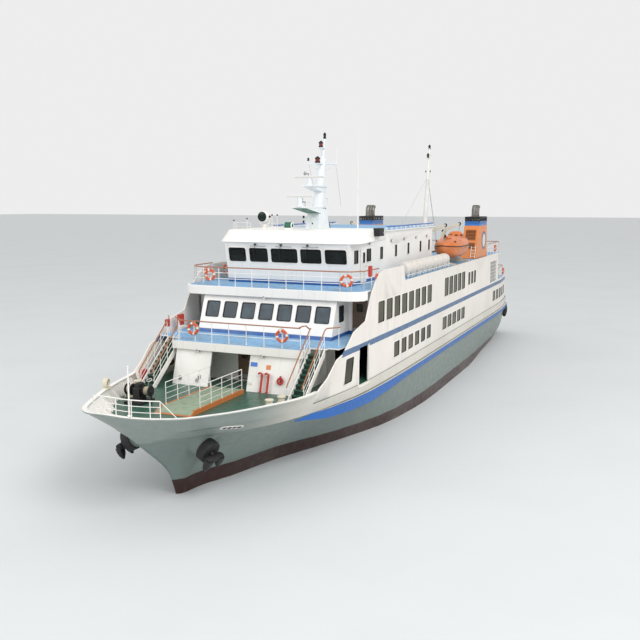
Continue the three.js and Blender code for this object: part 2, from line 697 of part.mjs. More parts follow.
function buildDeckhouse() {
  const low = DECK_3 + SEAM;
  const high = TOP_DECK - DECK_PLATE - SEAM;
  const front = WHEELHOUSE.aft - SEAM;
  const outer = box(DECKHOUSE_AFT, front, -BRIDGE_HALF, BRIDGE_HALF, low, high);
  const inner = box(DECKHOUSE_AFT + PLATE, front - PLATE, -BRIDGE_HALF + PLATE, BRIDGE_HALF - PLATE,
    low - 1, high + 1);
  const holes = DECKHOUSE_PANES.map(([x, width]) => box(x, x + width, -5, 5, 10.17, 10.97));
  holes.push(box(DECKHOUSE_AFT - 1, DECKHOUSE_AFT + 0.5, 1.2, 2.1, low + 0.1, low + 2.1));
  return cut(outer, [inner, ...holes]);
}

function buildTopDeck() {
  return box(DECKHOUSE_AFT - 0.3, WHEELHOUSE.aft - SEAM, -4.25, 4.25, TOP_DECK - DECK_PLATE, TOP_DECK);
}

function buildSaloonAft() {
  const wall = box(-21.9, -21.82, -5.7, 5.7, DECK_2 + SEAM, DECK_3 - DECK_PLATE - SEAM);
  return cut(wall, SIDES.map(([, side]) => box(-22.5, -21, side * 1.6, side * 2.5, DECK_2 + 0.15,
    DECK_2 + 2.1)));
}

function buildMainAft() {
  const wall = box(-26.5, -26.42, -5.4, 5.4, MAIN_DECK + SEAM, DECK_2 - DECK_PLATE - SEAM);
  return cut(wall, SIDES.map(([, side]) => box(-27, -26, side * 1.6, side * 2.5, MAIN_DECK + 0.15,
    MAIN_DECK + 2.0)));
}

// Stairs from the foredeck to deck 2
const STAIR = { top: 18.1, foot: 20.8, inner: 3.97, outer: 4.86, treads: 10, string: 0.05, depth: 0.28 };

function buildStair(side) {
  const { top, foot, inner, outer, treads, string, depth } = STAIR;
  const rise = DECK_2 - MAIN_DECK;
  const slope = [
    [top + 0.02, DECK_2 - 0.02],
    [foot + 0.12, MAIN_DECK + 0.08],
    [foot + 0.12, MAIN_DECK + SEAM],
    [foot - 0.2, MAIN_DECK + SEAM],
    [top + 0.02, DECK_2 - depth - 0.1],
  ];
  const pieces = [];
  for (const y of [inner, outer - string]) pieces.push(sideProfile(slope, side * y, side * (y + string)));
  for (let k = 1; k <= treads; k += 1) {
    const t = k / (treads + 1);
    const x = top + (foot - top) * t;
    const z = DECK_2 - rise * t;
    pieces.push(box(x - 0.13, x + 0.13, side * (inner + 0.01), side * (outer - 0.01), z - 0.12, z - 0.08));
  }
  for (const y of [inner + string / 2, outer - string / 2]) {
    const posts = [0.03, 0.35, 0.68, 0.97];
    for (const t of posts) {
      const x = top + (foot - top) * t;
      const z = DECK_2 - rise * t;
      pieces.push(bar([x, side * y, Math.max(z - 0.2, MAIN_DECK + SEAM)], [x, side * y, z + 0.95], TUBE,
        TUBE_SIDES));
    }
    for (const height of [0.95, 0.5]) {
      const high = [top + 0.05, side * y, DECK_2 + height - 0.04];
      const low = [foot + 0.02, side * y, MAIN_DECK + height - 0.02];
      pieces.push(bar(high, low, TUBE, TUBE_SIDES));
    }
  }
  return join(pieces);
}

// Boarding ramp on the foredeck, hinged at the entrance
const RAMP = { aft: 19.85, front: 24.9, half: 1.0, low: MAIN_DECK + SEAM, high: 4.12 };

function buildRamp() {
  const { aft, front, half, low, high } = RAMP;
  const pieces = [sideProfile([[aft, low], [front, low], [front - 0.35, high], [aft, high]], -half, half)];
  for (const [, side] of SIDES) {
    const y = side * (half - 0.03);
    const line = [[aft + 0.15, y, high - 0.02], [front - 0.9, y, high - 0.02]];
    pieces.push(guardRail(line, [RAIL_HEIGHT, 0.72, 0.36], 1.05));
  }
  return join(pieces);
}

// Foredeck gear

const WINDLASS = { x: 23.5, y: -2.9, shaft: 0.62, high: 1.0 };

function buildWindlass() {
  const { x, y, shaft, high } = WINDLASS;
  const base = MAIN_DECK + SEAM;
  return join([
    box(x - 0.6, x + 0.6, y - 0.5, y + 0.5, base, base + 0.12),
    box(x - 0.35, x + 0.3, y - 0.2, y + 0.2, base + 0.1, base + high),
    bar([x, y - 0.75, base + shaft], [x, y + 0.75, base + shaft], 0.09, 10),
    bar([x, y - 0.7, base + shaft], [x, y - 0.35, base + shaft], 0.3, 12),
    bar([x, y + 0.35, base + shaft], [x, y + 0.7, base + shaft], 0.3, 12),
  ]);
}

// A pair of posts on a base that lies along the bulwark
const BOLLARDS = { x: 22.3, y: 4.08, toe: -0.3, base: 0.75, half: 0.28, apart: 0.42 };

function buildBollards(side) {
  const { x, y, toe, base: reach, half, apart } = BOLLARDS;
  const low = MAIN_DECK + SEAM;
  const along = new THREE.Vector2(1, toe).normalize();
  const at = (ahead, out) => [x + along.x * ahead - along.y * out,
    side * (y + along.y * ahead + along.x * out)];
  const pieces = [planProfile([at(-reach, -half), at(reach, -half), at(reach, half), at(-reach, half)],
    low, low + 0.08)];
  for (const ahead of [-apart, apart]) {
    const foot = at(ahead, 0);
    pieces.push(bar([...foot, low + 0.05], [...foot, low + 0.62], 0.16, 12));
    pieces.push(bar([...foot, low + 0.6], [...foot, low + 0.66], 0.21, 12));
  }
  return join(pieces);
}

// What stands on the bulwark cap, trimmed to its slope
function onCap(solid, bulwark) {
  return solid.subtract(bulwark.translate([0, 0, SEAM]));
}

function buildJackstaff(bulwark) {
  const [x, y, z] = capPoint(1.0, 0, 0.06);
  return onCap(join([
    bar([x, y, z - 0.03], [x, y, z + 0.06], 0.05, 8),
    bar([x, y, z + 0.04], [x, y, z + 2.14], 0.035, 8),
  ]), bulwark);
}

const BOW_RAIL_LINE = [-0.7, -0.2, 0.3, 0.8, 1.4, 2.0].map((y) => capPoint(y, 0.03, -0.05));

function buildBowRail(bulwark) {
  return onCap(guardRail(BOW_RAIL_LINE, [0.75, 0.4], 0.7), bulwark);
}

// Bolster on the flare: where it leaves the hull and where its face is
const BOLSTER = { from: [25.15, 1.4, 2.95], to: [25.3, 2.32, 2.5], radius: 0.5 };

function buildAnchor(side) {
  const face = new THREE.Vector3(...BOLSTER.to);
  const out = face.clone().sub(new THREE.Vector3(...BOLSTER.from)).normalize();
  const along = (distance, dx = 0, dz = 0) => {
    const at = face.clone().addScaledVector(out, distance);
    return [at.x + dx, at.y * side, at.z + dz];
  };
  const shank = bar(along(SEAM), along(0.5), 0.12, 8);
  const crown = bar(along(0.36, -0.5, -0.06), along(0.36, 0.5, -0.06), 0.17, 8);
  const flukes = [-0.4, 0.4].map((dx) => bar(along(0.36, dx, -0.06), along(0.3, dx * 1.25, -0.75), 0.17,
    5, 0.03));
  return join([shank, crown, ...flukes]);
}

// Funnels. Columns: z, fore x, aft x, inner y, outer y
const FUNNEL = [
  [DECK_3 + SEAM, -13.2, -17.7, 4.3, 5.72],
  [12.0, -14.4, -17.5, 4.36, 5.68],
];

function funnelRing([z, fore, aft, inner, outer], side) {
  return [[fore, inner, z], [fore, outer, z], [aft, outer, z],
    [aft, inner, z]].map(([x, y, h]) => [x, y * side, h]);
}

function buildFunnel(side) {
  return skin(FUNNEL.map((row) => funnelRing(row, side)), [0, 1]);
}

function buildFunnelTop(side) {
  const [z, fore, aft, inner, outer] = FUNNEL[1];
  const low = z + SEAM;
  const high = low + 0.55;
  const wall = box(aft, fore, side * inner, side * outer, low, high);
  const well = box(aft + 0.06, fore - 0.06, side * (inner + 0.06), side * (outer - 0.06), low + 0.06,
    high + 1);
  const slots = [];
  for (let k = 0; k < 5; k += 1) {
    const x = aft + 0.35 + k * 0.55;
    slots.push(box(x, x + 0.25, side * (inner - 1), side * (outer + 1), low + 0.2, low + 0.38));
  }
  const pipes = [0.5, 1.15, 1.9].map((dx) => bar([fore - dx, side * 5.02, low + 0.03],
    [fore - dx - 0.12, side * 5.02, 13.5], 0.17, 10));
  return join([cut(wall, [well, ...slots]), ...pipes]);
}

// Lifeboats. Columns: x from the middle, half-beam, keel z, gunwale z, roof z
const BOAT = [
  [-3.15, 0.12, 10.08, 10.43, 10.58],
  [-2.7, 0.65, 9.68, 10.38, 10.83],
  [-1.6, 1.02, 9.38, 10.33, 11.08],
  [0, 1.1, 9.33, 10.33, 11.13],
  [1.6, 1.02, 9.38, 10.33, 10.98],
  [2.7, 0.65, 9.63, 10.38, 10.73],
  [3.15, 0.1, 10.03, 10.43, 10.58],
];
const BOAT_AT = { x: -8.05, y: 4.85 };
const BOAT_HOOK = 11.03;
const DAVIT_X = [-5.75, -10.35];

function buildLifeboat(side) {
  const rings = BOAT.map(([dx, half, keel, gunwale, roof]) => {
    const port = [
      [half * 0.55, keel + (gunwale - keel) * 0.25],
      [half * 0.95, gunwale - 0.12],
      [half, gunwale],
      [half * 0.82, gunwale + (roof - gunwale) * 0.6],
      [half * 0.45, roof],
    ];
    const ring = [[0, keel], ...port, ...port.map(([y, z]) => [-y, z]).reverse()];
    return ring.map(([y, z]) => [BOAT_AT.x + dx, side * BOAT_AT.y + y, z]);
  });
  const dome = new THREE.SphereGeometry(1, 12, 6);
  dome.scale(0.75, 0.55, 0.4);
  dome.translate(BOAT_AT.x - 1.1, side * BOAT_AT.y, 11.08);
  const hooks = DAVIT_X.map((x) => box(x - 0.08, x + 0.08, side * BOAT_AT.y - 0.05,
    side * BOAT_AT.y + 0.05, 10.58, BOAT_HOOK));
  return join([skin(rings, [1, 2]), toSolid(dome), ...hooks]);
}

// Davits: fixed tracks, and arms that ride out on them with the boat
const TRACK = { inner: 3.2, outer: 5.75, high: 9.5, low: 9.0, half: 0.12 };
const TRACK_FALL = (TRACK.high - TRACK.low) / (TRACK.outer - TRACK.inner);

function trackTop(y) {
  return TRACK.high - (y - TRACK.inner) * TRACK_FALL;
}

function buildTracks(side) {
  const foot = DECK_3 + SEAM;
  const { inner, outer, half } = TRACK;
  const outline = [[inner, foot], [outer, foot], [outer, trackTop(outer)], [inner, trackTop(inner)]];
  const frames = DAVIT_X.map((x) => crossProfile(outline.map(([y, z]) => [side * y, z]), x - half, x + half));
  const tie = box(DAVIT_X[1], DAVIT_X[0], side * 3.25, side * 3.35, foot + 0.1, foot + 0.2);
  return join([...frames, tie]);
}

function buildArms(side) {
  const ride = (y) => trackTop(y) + SEAM;
  const outline = [
    [3.25, ride(3.25)], [4.5, ride(4.5)], [4.5, ride(4.5) + 0.14], [3.6, ride(3.6) + 0.22],
    [3.55, 11.0], [3.75, 11.45], [4.9, 11.98], [4.85, 12.1], [3.6, 11.62], [3.3, 11.1],
  ];
  const pieces = DAVIT_X.map((x) => crossProfile(outline.map(([y, z]) => [side * y, z]), x - 0.1, x + 0.1));
  pieces.push(box(DAVIT_X[1], DAVIT_X[0], side * 3.32, side * 3.5, 9.75, 9.9));
  for (const x of DAVIT_X) {
    pieces.push(bar([x, side * BOAT_AT.y, 12.0], [x, side * BOAT_AT.y, BOAT_HOOK + SEAM], 0.03, 6));
  }
  return join(pieces);
}

// Life raft canisters in a row on their rack
const RAFT = { count: 8, first: -3.73, pitch: 1.35, length: 1.24, radius: 0.4, y: 5.25, z: 9.52 };

function buildRafts(side) {
  const { count, first, pitch, length, radius, y, z } = RAFT;
  const pieces = [];
  for (let k = 0; k < count; k += 1) {
    const x = first + k * pitch;
    pieces.push(bar([x - length / 2, side * y, z], [x + length / 2, side * y, z], radius, 12));
  }
  const end = first + (count - 1) * pitch;
  for (const dy of [-0.25, 0.25]) {
    pieces.push(box(first - 0.7, end + 0.7, side * (y + dy) - 0.04, side * (y + dy) + 0.04, z - 0.42,
      z - 0.3));
    for (let k = 0; k < count; k += 2) {
      const x = first + k * pitch;
      pieces.push(box(x - 0.04, x + 0.04, side * (y + dy) - 0.04, side * (y + dy) + 0.04, DECK_3 + SEAM,
        z - 0.35));
    }
  }
  return join(pieces);
}

// Masts

// Main mast: the boxed foot on the roof, the raked column and the shelves that carry the scanners
const MAST = {
  foot: { aft: 7.3, fore: 8.95, half: 0.52 },
  head: { aft: 7.5, fore: 8.75, half: 0.42, z: 13.35 },
  platform: { fore: 10.9, half: 0.5, z: 13.42 },
  column: [[8.15, 0, 13.2], [7.25, 0, 16.6]],
  pole: [[7.28, 0, 16.5], [6.95, 0, 17.9]],
  yard: { x: 7.34, z: 16.2, half: 1.05 },
};

// Radar scanners. Columns: name, x, pedestal top z, length
const SCANNERS = [['lower_scanner', 10.8, 14.0, 1.9], ['upper_scanner', 9.35, 15.2, 2.15]];

function buildMast() {
  const { foot, head, platform, column, pole, yard } = MAST;
  const level = ({ aft, fore, half }, z) => [[aft, -half, z], [fore, -half, z], [fore, half, z],
    [aft, half, z]];
  const underside = [
    [foot.aft + 0.1, platform.z + 0.08],
    [foot.aft + 0.1, platform.z],
    [head.fore - 0.1, platform.z - 0.32],
    [platform.fore, platform.z],
    [platform.fore, platform.z + 0.08],
  ];
  const pieces = [
    skin([level(foot, ROOF_TOP + SEAM), level(head, head.z)], [0, 1]),
    sideProfile(underside, -platform.half, platform.half),
    bar(...column, 0.34, 10, 0.2),
    bar(...pole, 0.07, 8),
    bar([yard.x, -yard.half, yard.z], [yard.x, yard.half, yard.z], 0.045, 6),
    bar([yard.x, -1.0, yard.z], [yard.x, -1.0, yard.z + 0.8], 0.03, 6),
    bar([yard.x, 1.0, yard.z], [yard.x, 1.0, yard.z + 1.0], 0.03, 6),
  ];
  const [[, lowX, lowTop], [, highX, highTop]] = SCANNERS;
  const shelf = highTop - 0.44;
  pieces.push(bar([lowX, 0, platform.z], [lowX, 0, lowTop], 0.17, 10));
  pieces.push(bar([highX, 0, shelf], [highX, 0, highTop], 0.14, 10));
  pieces.push(sideProfile([
    [column[1][0], shelf + 0.08],
    [column[1][0], shelf - 0.3],
    [highX + 0.35, shelf],
    [highX + 0.35, shelf + 0.08],
  ], -0.4, 0.4));
  return join(pieces);
}

function buildScanner([, x, top, length]) {
  const low = top + SEAM;
  return join([
    bar([x, 0, low], [x, 0, low + 0.1], 0.09, 10),
    box(x - 0.07, x + 0.07, -length / 2, length / 2, low + 0.08, low + 0.2),
  ]);
}

function buildAftMast() {
  const foot = DECK_3 + SEAM;
  const x = -16.5;
  const pieces = [
    bar([x, 0, foot + 0.06], [x - 1.4, 0, 19.2], 0.14, 10, 0.07),
    box(x - 0.3, x + 0.3, -0.3, 0.3, foot, foot + 0.1),
    bar([x - 1.0, -0.5, 16.6], [x - 1.0, 0.5, 16.6], 0.04, 6),
    bar([x - 1.25, -0.35, 18.2], [x - 1.25, 0.35, 18.2], 0.04, 6),
  ];
  // Stays to the deck. Columns: foot x, foot y
  for (const [sx, sy] of [[-12.5, -2.6], [-12.5, 2.6], [-21.5, 0]]) {
    pieces.push(bar([sx, sy, foot + 0.02], [x - 0.95, 0, 16.2], 0.02, 4));
    pieces.push(box(sx - 0.1, sx + 0.1, sy - 0.1, sy + 0.1, foot, foot + 0.05));
  }
  return join(pieces);
}

function buildSearchlight() {
  const { x, y, z } = SEARCHLIGHT;
  const low = 12.35 + SEAM;
  return join([
    bar([x, y, low], [x, y, low + 0.08], 0.12, 10),
    box(x - 0.05, x + 0.05, y - 0.36, y + 0.36, low + 0.05, low + 0.12),
    box(x - 0.05, x + 0.05, y - 0.4, y - 0.3, low + 0.05, z + 0.05),
    box(x - 0.05, x + 0.05, y + 0.3, y + 0.4, low + 0.05, z + 0.05),
    bar([x - 0.3, y, z], [x + 0.32, y, z], 0.34, 16),
  ]);
}

// Guard rails of the open decks, and the low toe rail of the top one. Columns: name, line, heights, spacing
const DECK_RAILS = [
  ['deck_2_rail', [[18.7, -3.72, DECK_2], [18.7, 3.72, DECK_2]], [RAIL_HEIGHT, 0.55], 1.24],
  ['deck_3_rail', symmetricLine([[12.0, 5.6], [14.2, 5.5], [14.8, 5.0], [15.02, 4.4]], DECK_3),
    [RAIL_HEIGHT, 0.55], 1.65],
  ['top_deck_rail', symmetricLine([[6.3, 4.1], [-4.85, 4.1]], TOP_DECK), [0.2], 1.05],
  ['deck_3_aft_rail', symmetricLine([[-18.2, 5.7], [-23.75, 5.66]], DECK_3), [RAIL_HEIGHT, 0.55], 1.9],
  ['deck_2_aft_rail', symmetricLine([[-22.6, 5.7], [-24.0, 5.66], [-27.85, 5.32]], DECK_2),
    [RAIL_HEIGHT, 0.55], 1.9],
];

function symmetricLine(points, level) {
  const port = points.map(([x, y]) => [x, y, level]);
  return [...port, ...port.map(([x, y, z]) => [x, -y, z]).reverse()];
}

// Propellers and rudders
const BLADES = 4;

function buildPropeller(side) {
  const y = side * SHAFT.y;
  const fore = PROPELLER_X + SHAFT.end - 0.002 - SEAM;
  const hub = bar([fore, y, SHAFT.z], [PROPELLER_X - 0.25, y, SHAFT.z], 0.17, 12, 0.1);
  const pieces = [hub];
  for (let k = 0; k < BLADES; k += 1) {
    const blade = new THREE.BoxGeometry(0.05, 0.42, 0.7, 1, 1, 2);
    blade.rotateZ(0.95 * side);
    blade.translate(0, 0, 0.46);
    blade.rotateX((k * Math.PI * 2) / BLADES);
    blade.translate(PROPELLER_X + 0.08, y, SHAFT.z);
    pieces.push(toSolid(blade));
  }
  return join(pieces);
}

function buildRudder(side) {
  const y = side * SHAFT.y;
  const foil = [[-28.1, 0.02], [-27.4, 0.11], [-27.0, 0.1], [-26.75, 0.001], [-27.0, -0.1],
    [-27.4, -0.11], [-28.1, -0.02]];
  const blade = planProfile(foil.map(([x, dy]) => [x, y + dy]), -2.6, -0.9);
  const stock = bar([RUDDER_X, y, -1.0], [RUDDER_X, y, -0.75 - SEAM], 0.12, 12);
  return join([blade, stock]);
}

const hull = buildHull();
place('hull', hull, PAINT.white);
const bulwark = buildBulwark();
place('bow_bulwark', bulwark, PAINT.white);
place('rub_rail', buildRubRail(hull), PAINT.blue);
place('deck_2', buildDeck2(), PAINT.deckBlue);
place('deck_3', buildDeck3(), PAINT.deckBlue);
place('deck_2_fascia', buildFascia2(), PAINT.white);
place('deck_3_fascia', buildFascia3(), PAINT.white);
place('main_house_front', buildMainFront(), PAINT.white);
place('entrance_door', crossLeaf(VESTIBULE_X, ENTRANCE_DOOR_Y, MAIN_DECK), PAINT.brown);
place('saloon_front', buildSaloonFront(), PAINT.white);
place('saloon_aft_bulkhead', buildSaloonAft(), PAINT.white);
place('main_aft_bulkhead', buildMainAft(), PAINT.white);
place('wheelhouse_front', buildWheelhouseFront(), PAINT.white);
place('wheelhouse_roof', buildRoof(), PAINT.white);
place('deckhouse', buildDeckhouse(), PAINT.white);
place('top_deck', buildTopDeck(), PAINT.white);
place('boarding_ramp', buildRamp(), PAINT.deckGreen);
place('windlass', buildWindlass(), PAINT.black);
place('jackstaff', buildJackstaff(bulwark), PAINT.white);
place('bow_rail', buildBowRail(bulwark), PAINT.white);
place('main_mast', buildMast(), PAINT.cream);
place('aft_mast', buildAftMast(), PAINT.cream);
place('searchlight', buildSearchlight(), PAINT.white);
for (const row of SCANNERS) place(row[0], buildScanner(row), PAINT.white);
for (const [name, line, heights, spacing] of DECK_RAILS) {
  place(name, guardRail(line, heights, spacing), name === 'top_deck_rail' ? PAINT.blue : PAINT.white);
}
for (const [name, side] of SIDES) {
  place(`side_shell_${name}`, buildShell(side), PAINT.white);
  place(`stair_${name}`, buildStair(side), PAINT.deckGreen);
  place(`saloon_door_${name}`, crossLeaf(SALOON_FRONT.wings, side * SALOON_DOOR_Y, DECK_2), PAINT.brown);
  place(`wheelhouse_side_${name}`, buildWheelhouseSide(side), PAINT.white);
  place(`wheelhouse_door_${name}`, buildWheelhouseDoor(side), PAINT.white);
  place(`bollards_${name}`, buildBollards(side), PAINT.cream);
  place(`anchor_${name}`, buildAnchor(side), PAINT.anchorBlack);
  place(`funnel_${name}`, buildFunnel(side), PAINT.orange);
  place(`funnel_top_${name}`, buildFunnelTop(side), PAINT.black);
  place(`lifeboat_${name}`, buildLifeboat(side), PAINT.lifeOrange);
  place(`davit_track_${name}`, buildTracks(side), PAINT.white);
  place(`davit_arms_${name}`, buildArms(side), PAINT.cream);
  place(`liferafts_${name}`, buildRafts(side), PAINT.white);
  place(`propeller_${name}`, buildPropeller(side), PAINT.bronze);
  place(`rudder_${name}`, buildRudder(side), PAINT.white);
}

export default group;
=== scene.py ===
import json
import math

import bmesh
import bpy
from mathutils import Matrix, Vector
from mathutils.bvhtree import BVHTree

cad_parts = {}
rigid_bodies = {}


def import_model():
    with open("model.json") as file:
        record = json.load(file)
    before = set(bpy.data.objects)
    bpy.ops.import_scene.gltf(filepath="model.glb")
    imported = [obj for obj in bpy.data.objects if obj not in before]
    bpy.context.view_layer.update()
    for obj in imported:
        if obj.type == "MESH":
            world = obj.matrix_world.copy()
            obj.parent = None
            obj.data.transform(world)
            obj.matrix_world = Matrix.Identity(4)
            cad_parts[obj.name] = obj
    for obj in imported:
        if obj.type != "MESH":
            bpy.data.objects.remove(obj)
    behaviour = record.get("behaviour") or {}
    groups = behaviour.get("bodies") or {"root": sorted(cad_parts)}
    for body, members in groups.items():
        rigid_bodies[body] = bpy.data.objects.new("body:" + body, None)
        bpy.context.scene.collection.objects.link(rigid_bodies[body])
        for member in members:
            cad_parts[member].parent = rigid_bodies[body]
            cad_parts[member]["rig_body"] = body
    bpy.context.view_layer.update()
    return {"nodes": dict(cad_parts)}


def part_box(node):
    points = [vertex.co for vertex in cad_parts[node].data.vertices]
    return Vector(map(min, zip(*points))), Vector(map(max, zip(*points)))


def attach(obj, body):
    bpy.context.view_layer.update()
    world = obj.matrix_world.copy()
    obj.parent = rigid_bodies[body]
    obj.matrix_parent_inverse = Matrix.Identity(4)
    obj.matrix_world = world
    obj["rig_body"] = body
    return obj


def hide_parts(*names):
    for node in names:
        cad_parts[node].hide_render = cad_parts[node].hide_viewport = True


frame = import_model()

# Sizes are written in metres of the full-size ship. The model is half that size.
SCALE = 0.5
UP = Vector((0, 0, 1))
MAIN_DECK, DECK_2, DECK_3, TOP_DECK, ROOF_TOP = 3.9, 6.25, 8.9, 12.0, 12.1
ROOF_EAVE = 11.37
BRIDGE_HALF, SALOON_HALF = 4.1, 4.25
RAIL_HEIGHT = 1.08
# Gap between a piece and the deck that it stands on, so that their faces don't fight
GAP = 0.001
# The thinner gap under pieces that move
SEAT = 0.0006
# A place well outside either side of the ship, from which its shell is looked for
OUTBOARD = 8
# Angles in degrees: what counts as flat, as an edge to ease, and as a sharp edge in the shading
FLAT_ANGLE, EDGE_ANGLE, SKIN_SHARP, PIECE_SHARP = 0.4, 28, 32, 38
# Points nearer than this are one
WELD = 0.00005
SIDES = (("port", 1), ("starboard", -1))
# The same two ways, where no name is needed
WAYS = (1, -1)


# Colours and shader nodes

def colour(code):
    """An sRGB hex colour as linear red, green, blue and alpha."""
    channels = [int(code[i:i + 2], 16) / 255 for i in (1, 3, 5)]
    linear = [c / 12.92 if c <= 0.04045 else ((c + 0.055) / 1.055) ** 2.4 for c in channels]
    return (*linear, 1.0)


def add(tree, kind, sockets=None, **settings):
    """Adds a shader node. Each socket gets a fixed value or a link from another socket."""
    made = tree.nodes.new("ShaderNode" + kind)
    for key, value in settings.items():
        setattr(made, key, value)
    for key, value in (sockets or {}).items():
        if isinstance(value, bpy.types.NodeSocket):
            tree.links.new(value, made.inputs[key])
        else:
            made.inputs[key].default_value = value
    return made


class Coat:
    """A finish in the making: its nodes, the point on the ship and the colour so far."""

    def __init__(self, name, code):
        self.made = bpy.data.materials.new(name)
        self.made.use_nodes = True
        self.tree = self.made.node_tree
        self.tree.nodes.clear()
        self.point = add(self.tree, "TexCoord").outputs["Object"]
        self.axes = add(self.tree, "SeparateXYZ", {"Vector": self.point})
        self.base = colour(code)

    def grain(self, scale, detail=3.0, stretch=(1, 1, 1)):
        """A cloudy pattern over the ship, for stains, gloss and relief."""
        point = add(self.tree, "Mapping", {"Vector": self.point, "Scale": stretch}).outputs[0]
        return add(self.tree, "TexNoise", {"Vector": point, "Scale": scale, "Detail": detail}).outputs["Fac"]

    def lay(self, share, code):
        """Lays another colour over what is there, as much as the share says."""
        made = add(self.tree, "Mix", {0: share, 6: self.base, 7: colour(code)}, data_type="RGBA")
        self.base = made.outputs[2]

    def stain(self, code, amount, scale, low=0.45, high=0.75, stretch=(1, 1, 1), detail=4.0):
        """Lays another colour where the grain is strong."""
        grain = self.grain(scale, detail, stretch)
        share = add(self.tree, "MapRange", {"Value": grain, "From Min": low, "From Max": high,
                                            "To Max": amount})
        self.lay(share.outputs[0], code)

    def band(self, low, high, code, rake=None):
        """Paints a band between two levels, forward to a raked edge if one is given."""
        centre, half = (low + high) / 2 * SCALE, (high - low) / 2 * SCALE
        share = add(self.tree, "Math", {0: self.axes.outputs["Z"], 1: centre, 2: half},
                    operation="COMPARE").outputs[0]
        if rake is not None:
            slope = add(self.tree, "Math", {0: self.axes.outputs["X"], 1: self.axes.outputs["Z"]},
                        operation="ADD")
            aft = add(self.tree, "Math", {0: slope.outputs[0], 1: rake * SCALE}, operation="LESS_THAN")
            share = add(self.tree, "Math", {0: share, 1: aft.outputs[0]}, operation="MULTIPLY").outputs[0]
        self.lay(share, code)

    def fade(self, code, start, end):
        """Lays painted shade over the bow, from nothing at one frame to all of it at another."""
        share = add(self.tree, "MapRange", {"Value": self.axes.outputs["X"], "From Min": start * SCALE,
                                            "From Max": end * SCALE}, interpolation_type="SMOOTHSTEP")
        self.lay(share.outputs[0], code)

    def ready(self, gloss, relief=(), depth=0.001, gloss_scale=6.0, spread=0.2, sockets=None):
        """Ends the finish with its uneven gloss and its relief. Depth is in model metres."""
        grain = self.grain(gloss_scale)
        rough = add(self.tree, "MapRange", {"Value": grain, "From Min": 0.3, "From Max": 0.7, "To Min": gloss,
                                            "To Max": gloss + spread})
        values = {"Base Color": self.base, "Roughness": rough.outputs[0], **(sockets or {})}
        height = None
        for part, share in relief:
            part = add(self.tree, "Math", {0: part, 1: share}, operation="MULTIPLY").outputs[0]
            height = part if height is None else add(self.tree, "Math", {0: height, 1: part}).outputs[0]
        if height is not None:
            values["Normal"] = add(self.tree, "Bump", {"Distance": depth, "Height": height}).outputs[0]
        shader = add(self.tree, "BsdfPrincipled", values)
        add(self.tree, "OutputMaterial", {"Surface": shader.outputs[0]})
        return self.made


# Finishes of painted steel

# Rolled enamel on welded plate: a soft gloss, a faint run-off under the edges and a seam every few metres
def enamel(name, code, bands=(), deck=None, seams=True, dirt=0.35, gloss=0.3, rake=None, bow=None):
    coat = Coat(name, code)
    # Painted shade: the bow's flare faces down, so the colour turns grey forward of frame 20.5
    if bow:
        coat.fade(bow, 20.5, 25.0)
    for low, high, paint in bands:
        coat.band(low, high, paint, rake)
    # Broad clouds of dust, and run-off 40 mm wide and a metre long
    coat.stain("#8f8c80", dirt * 0.4, 0.55, 0.45, 0.8)
    coat.stain("#84705a", dirt * 0.7, 11.0, 0.58, 0.82, (1, 1, 0.05))
    if deck:
        facing = add(coat.tree, "SeparateXYZ", {"Vector": add(coat.tree, "NewGeometry").outputs["Normal"]})
        flat = add(coat.tree, "Math", {0: facing.outputs["Z"], 1: 0.95}, operation="GREATER_THAN").outputs[0]
        high = add(coat.tree, "Math", {0: coat.axes.outputs["Z"], 1: 3.85 * SCALE},
                   operation="GREATER_THAN").outputs[0]
        coat.lay(add(coat.tree, "Math", {0: flat, 1: high}, operation="MULTIPLY").outputs[0], deck)
    relief = [(coat.grain(120.0, 2.0), 0.1)]
    if seams:
        # Plates 3 m long and 1.2 m wide on the model, raised welds 8 mm wide, and dishing between frames
        flat = add(coat.tree, "CombineXYZ",
                   {"X": coat.axes.outputs["X"], "Y": coat.axes.outputs["Z"]}).outputs[0]
        plates = add(coat.tree, "TexBrick",
                     {"Vector": flat, "Scale": 1.0, "Mortar Size": 0.004, "Mortar Smooth": 0.6,
                      "Brick Width": 3.0, "Row Height": 1.18})
        relief += [(plates.outputs["Fac"], 0.6), (coat.grain(1.3, 1.0), 2.2)]
    return coat.ready(gloss, relief, 0.004, sockets={"IOR": 1.5, "Coat Weight": 0.1, "Coat Roughness": 0.2})


# Two-part deck coating with grit rolled in: matt and finely rough, worn pale where people walk
def deck_coating(name, code, worn="#8d9a90"):
    coat = Coat(name, code)
    coat.stain(worn, 0.5, 1.7, detail=6.0)
    coat.stain("#3c4540", 0.45, 6.0, 0.52, 0.8)
    # Real grit is 1 mm. It is drawn 12 mm across, the least that shows.
    return coat.ready(0.5, [(coat.grain(85.0, 2.0), 1.0)], 0.003, spread=0.3, sockets={"IOR": 1.45})


# Sprayed or brushed enamel on small gear: an even gloss, chipped and dusty in places
def gear_enamel(name, code, gloss=0.3, wear="#6d6a63", amount=0.35):
    coat = Coat(name, code)
    coat.stain(wear, 0.2, 2.0)
    coat.stain(wear, amount, 24.0, 0.62, 0.7, detail=6.0)
    return coat.ready(gloss, [(coat.grain(100.0, 2.0), 1.0)], 0.0006, gloss_scale=12.0, sockets={"IOR": 1.5})


# Glass-fibre moulding with a pigmented gelcoat: smooth and glossy, chalked by the sun
def gelcoat(name, code, chalk):
    coat = Coat(name, code)
    coat.stain(chalk, 0.35, 1.6)
    coat.stain("#5f5548", 0.35, 12.0, 0.58, 0.82, (1, 1, 0.12))
    return coat.ready(0.25, [(coat.grain(16.0, 2.0), 1.0)], 0.0015, sockets={"IOR": 1.5, "Coat Weight": 0.15})


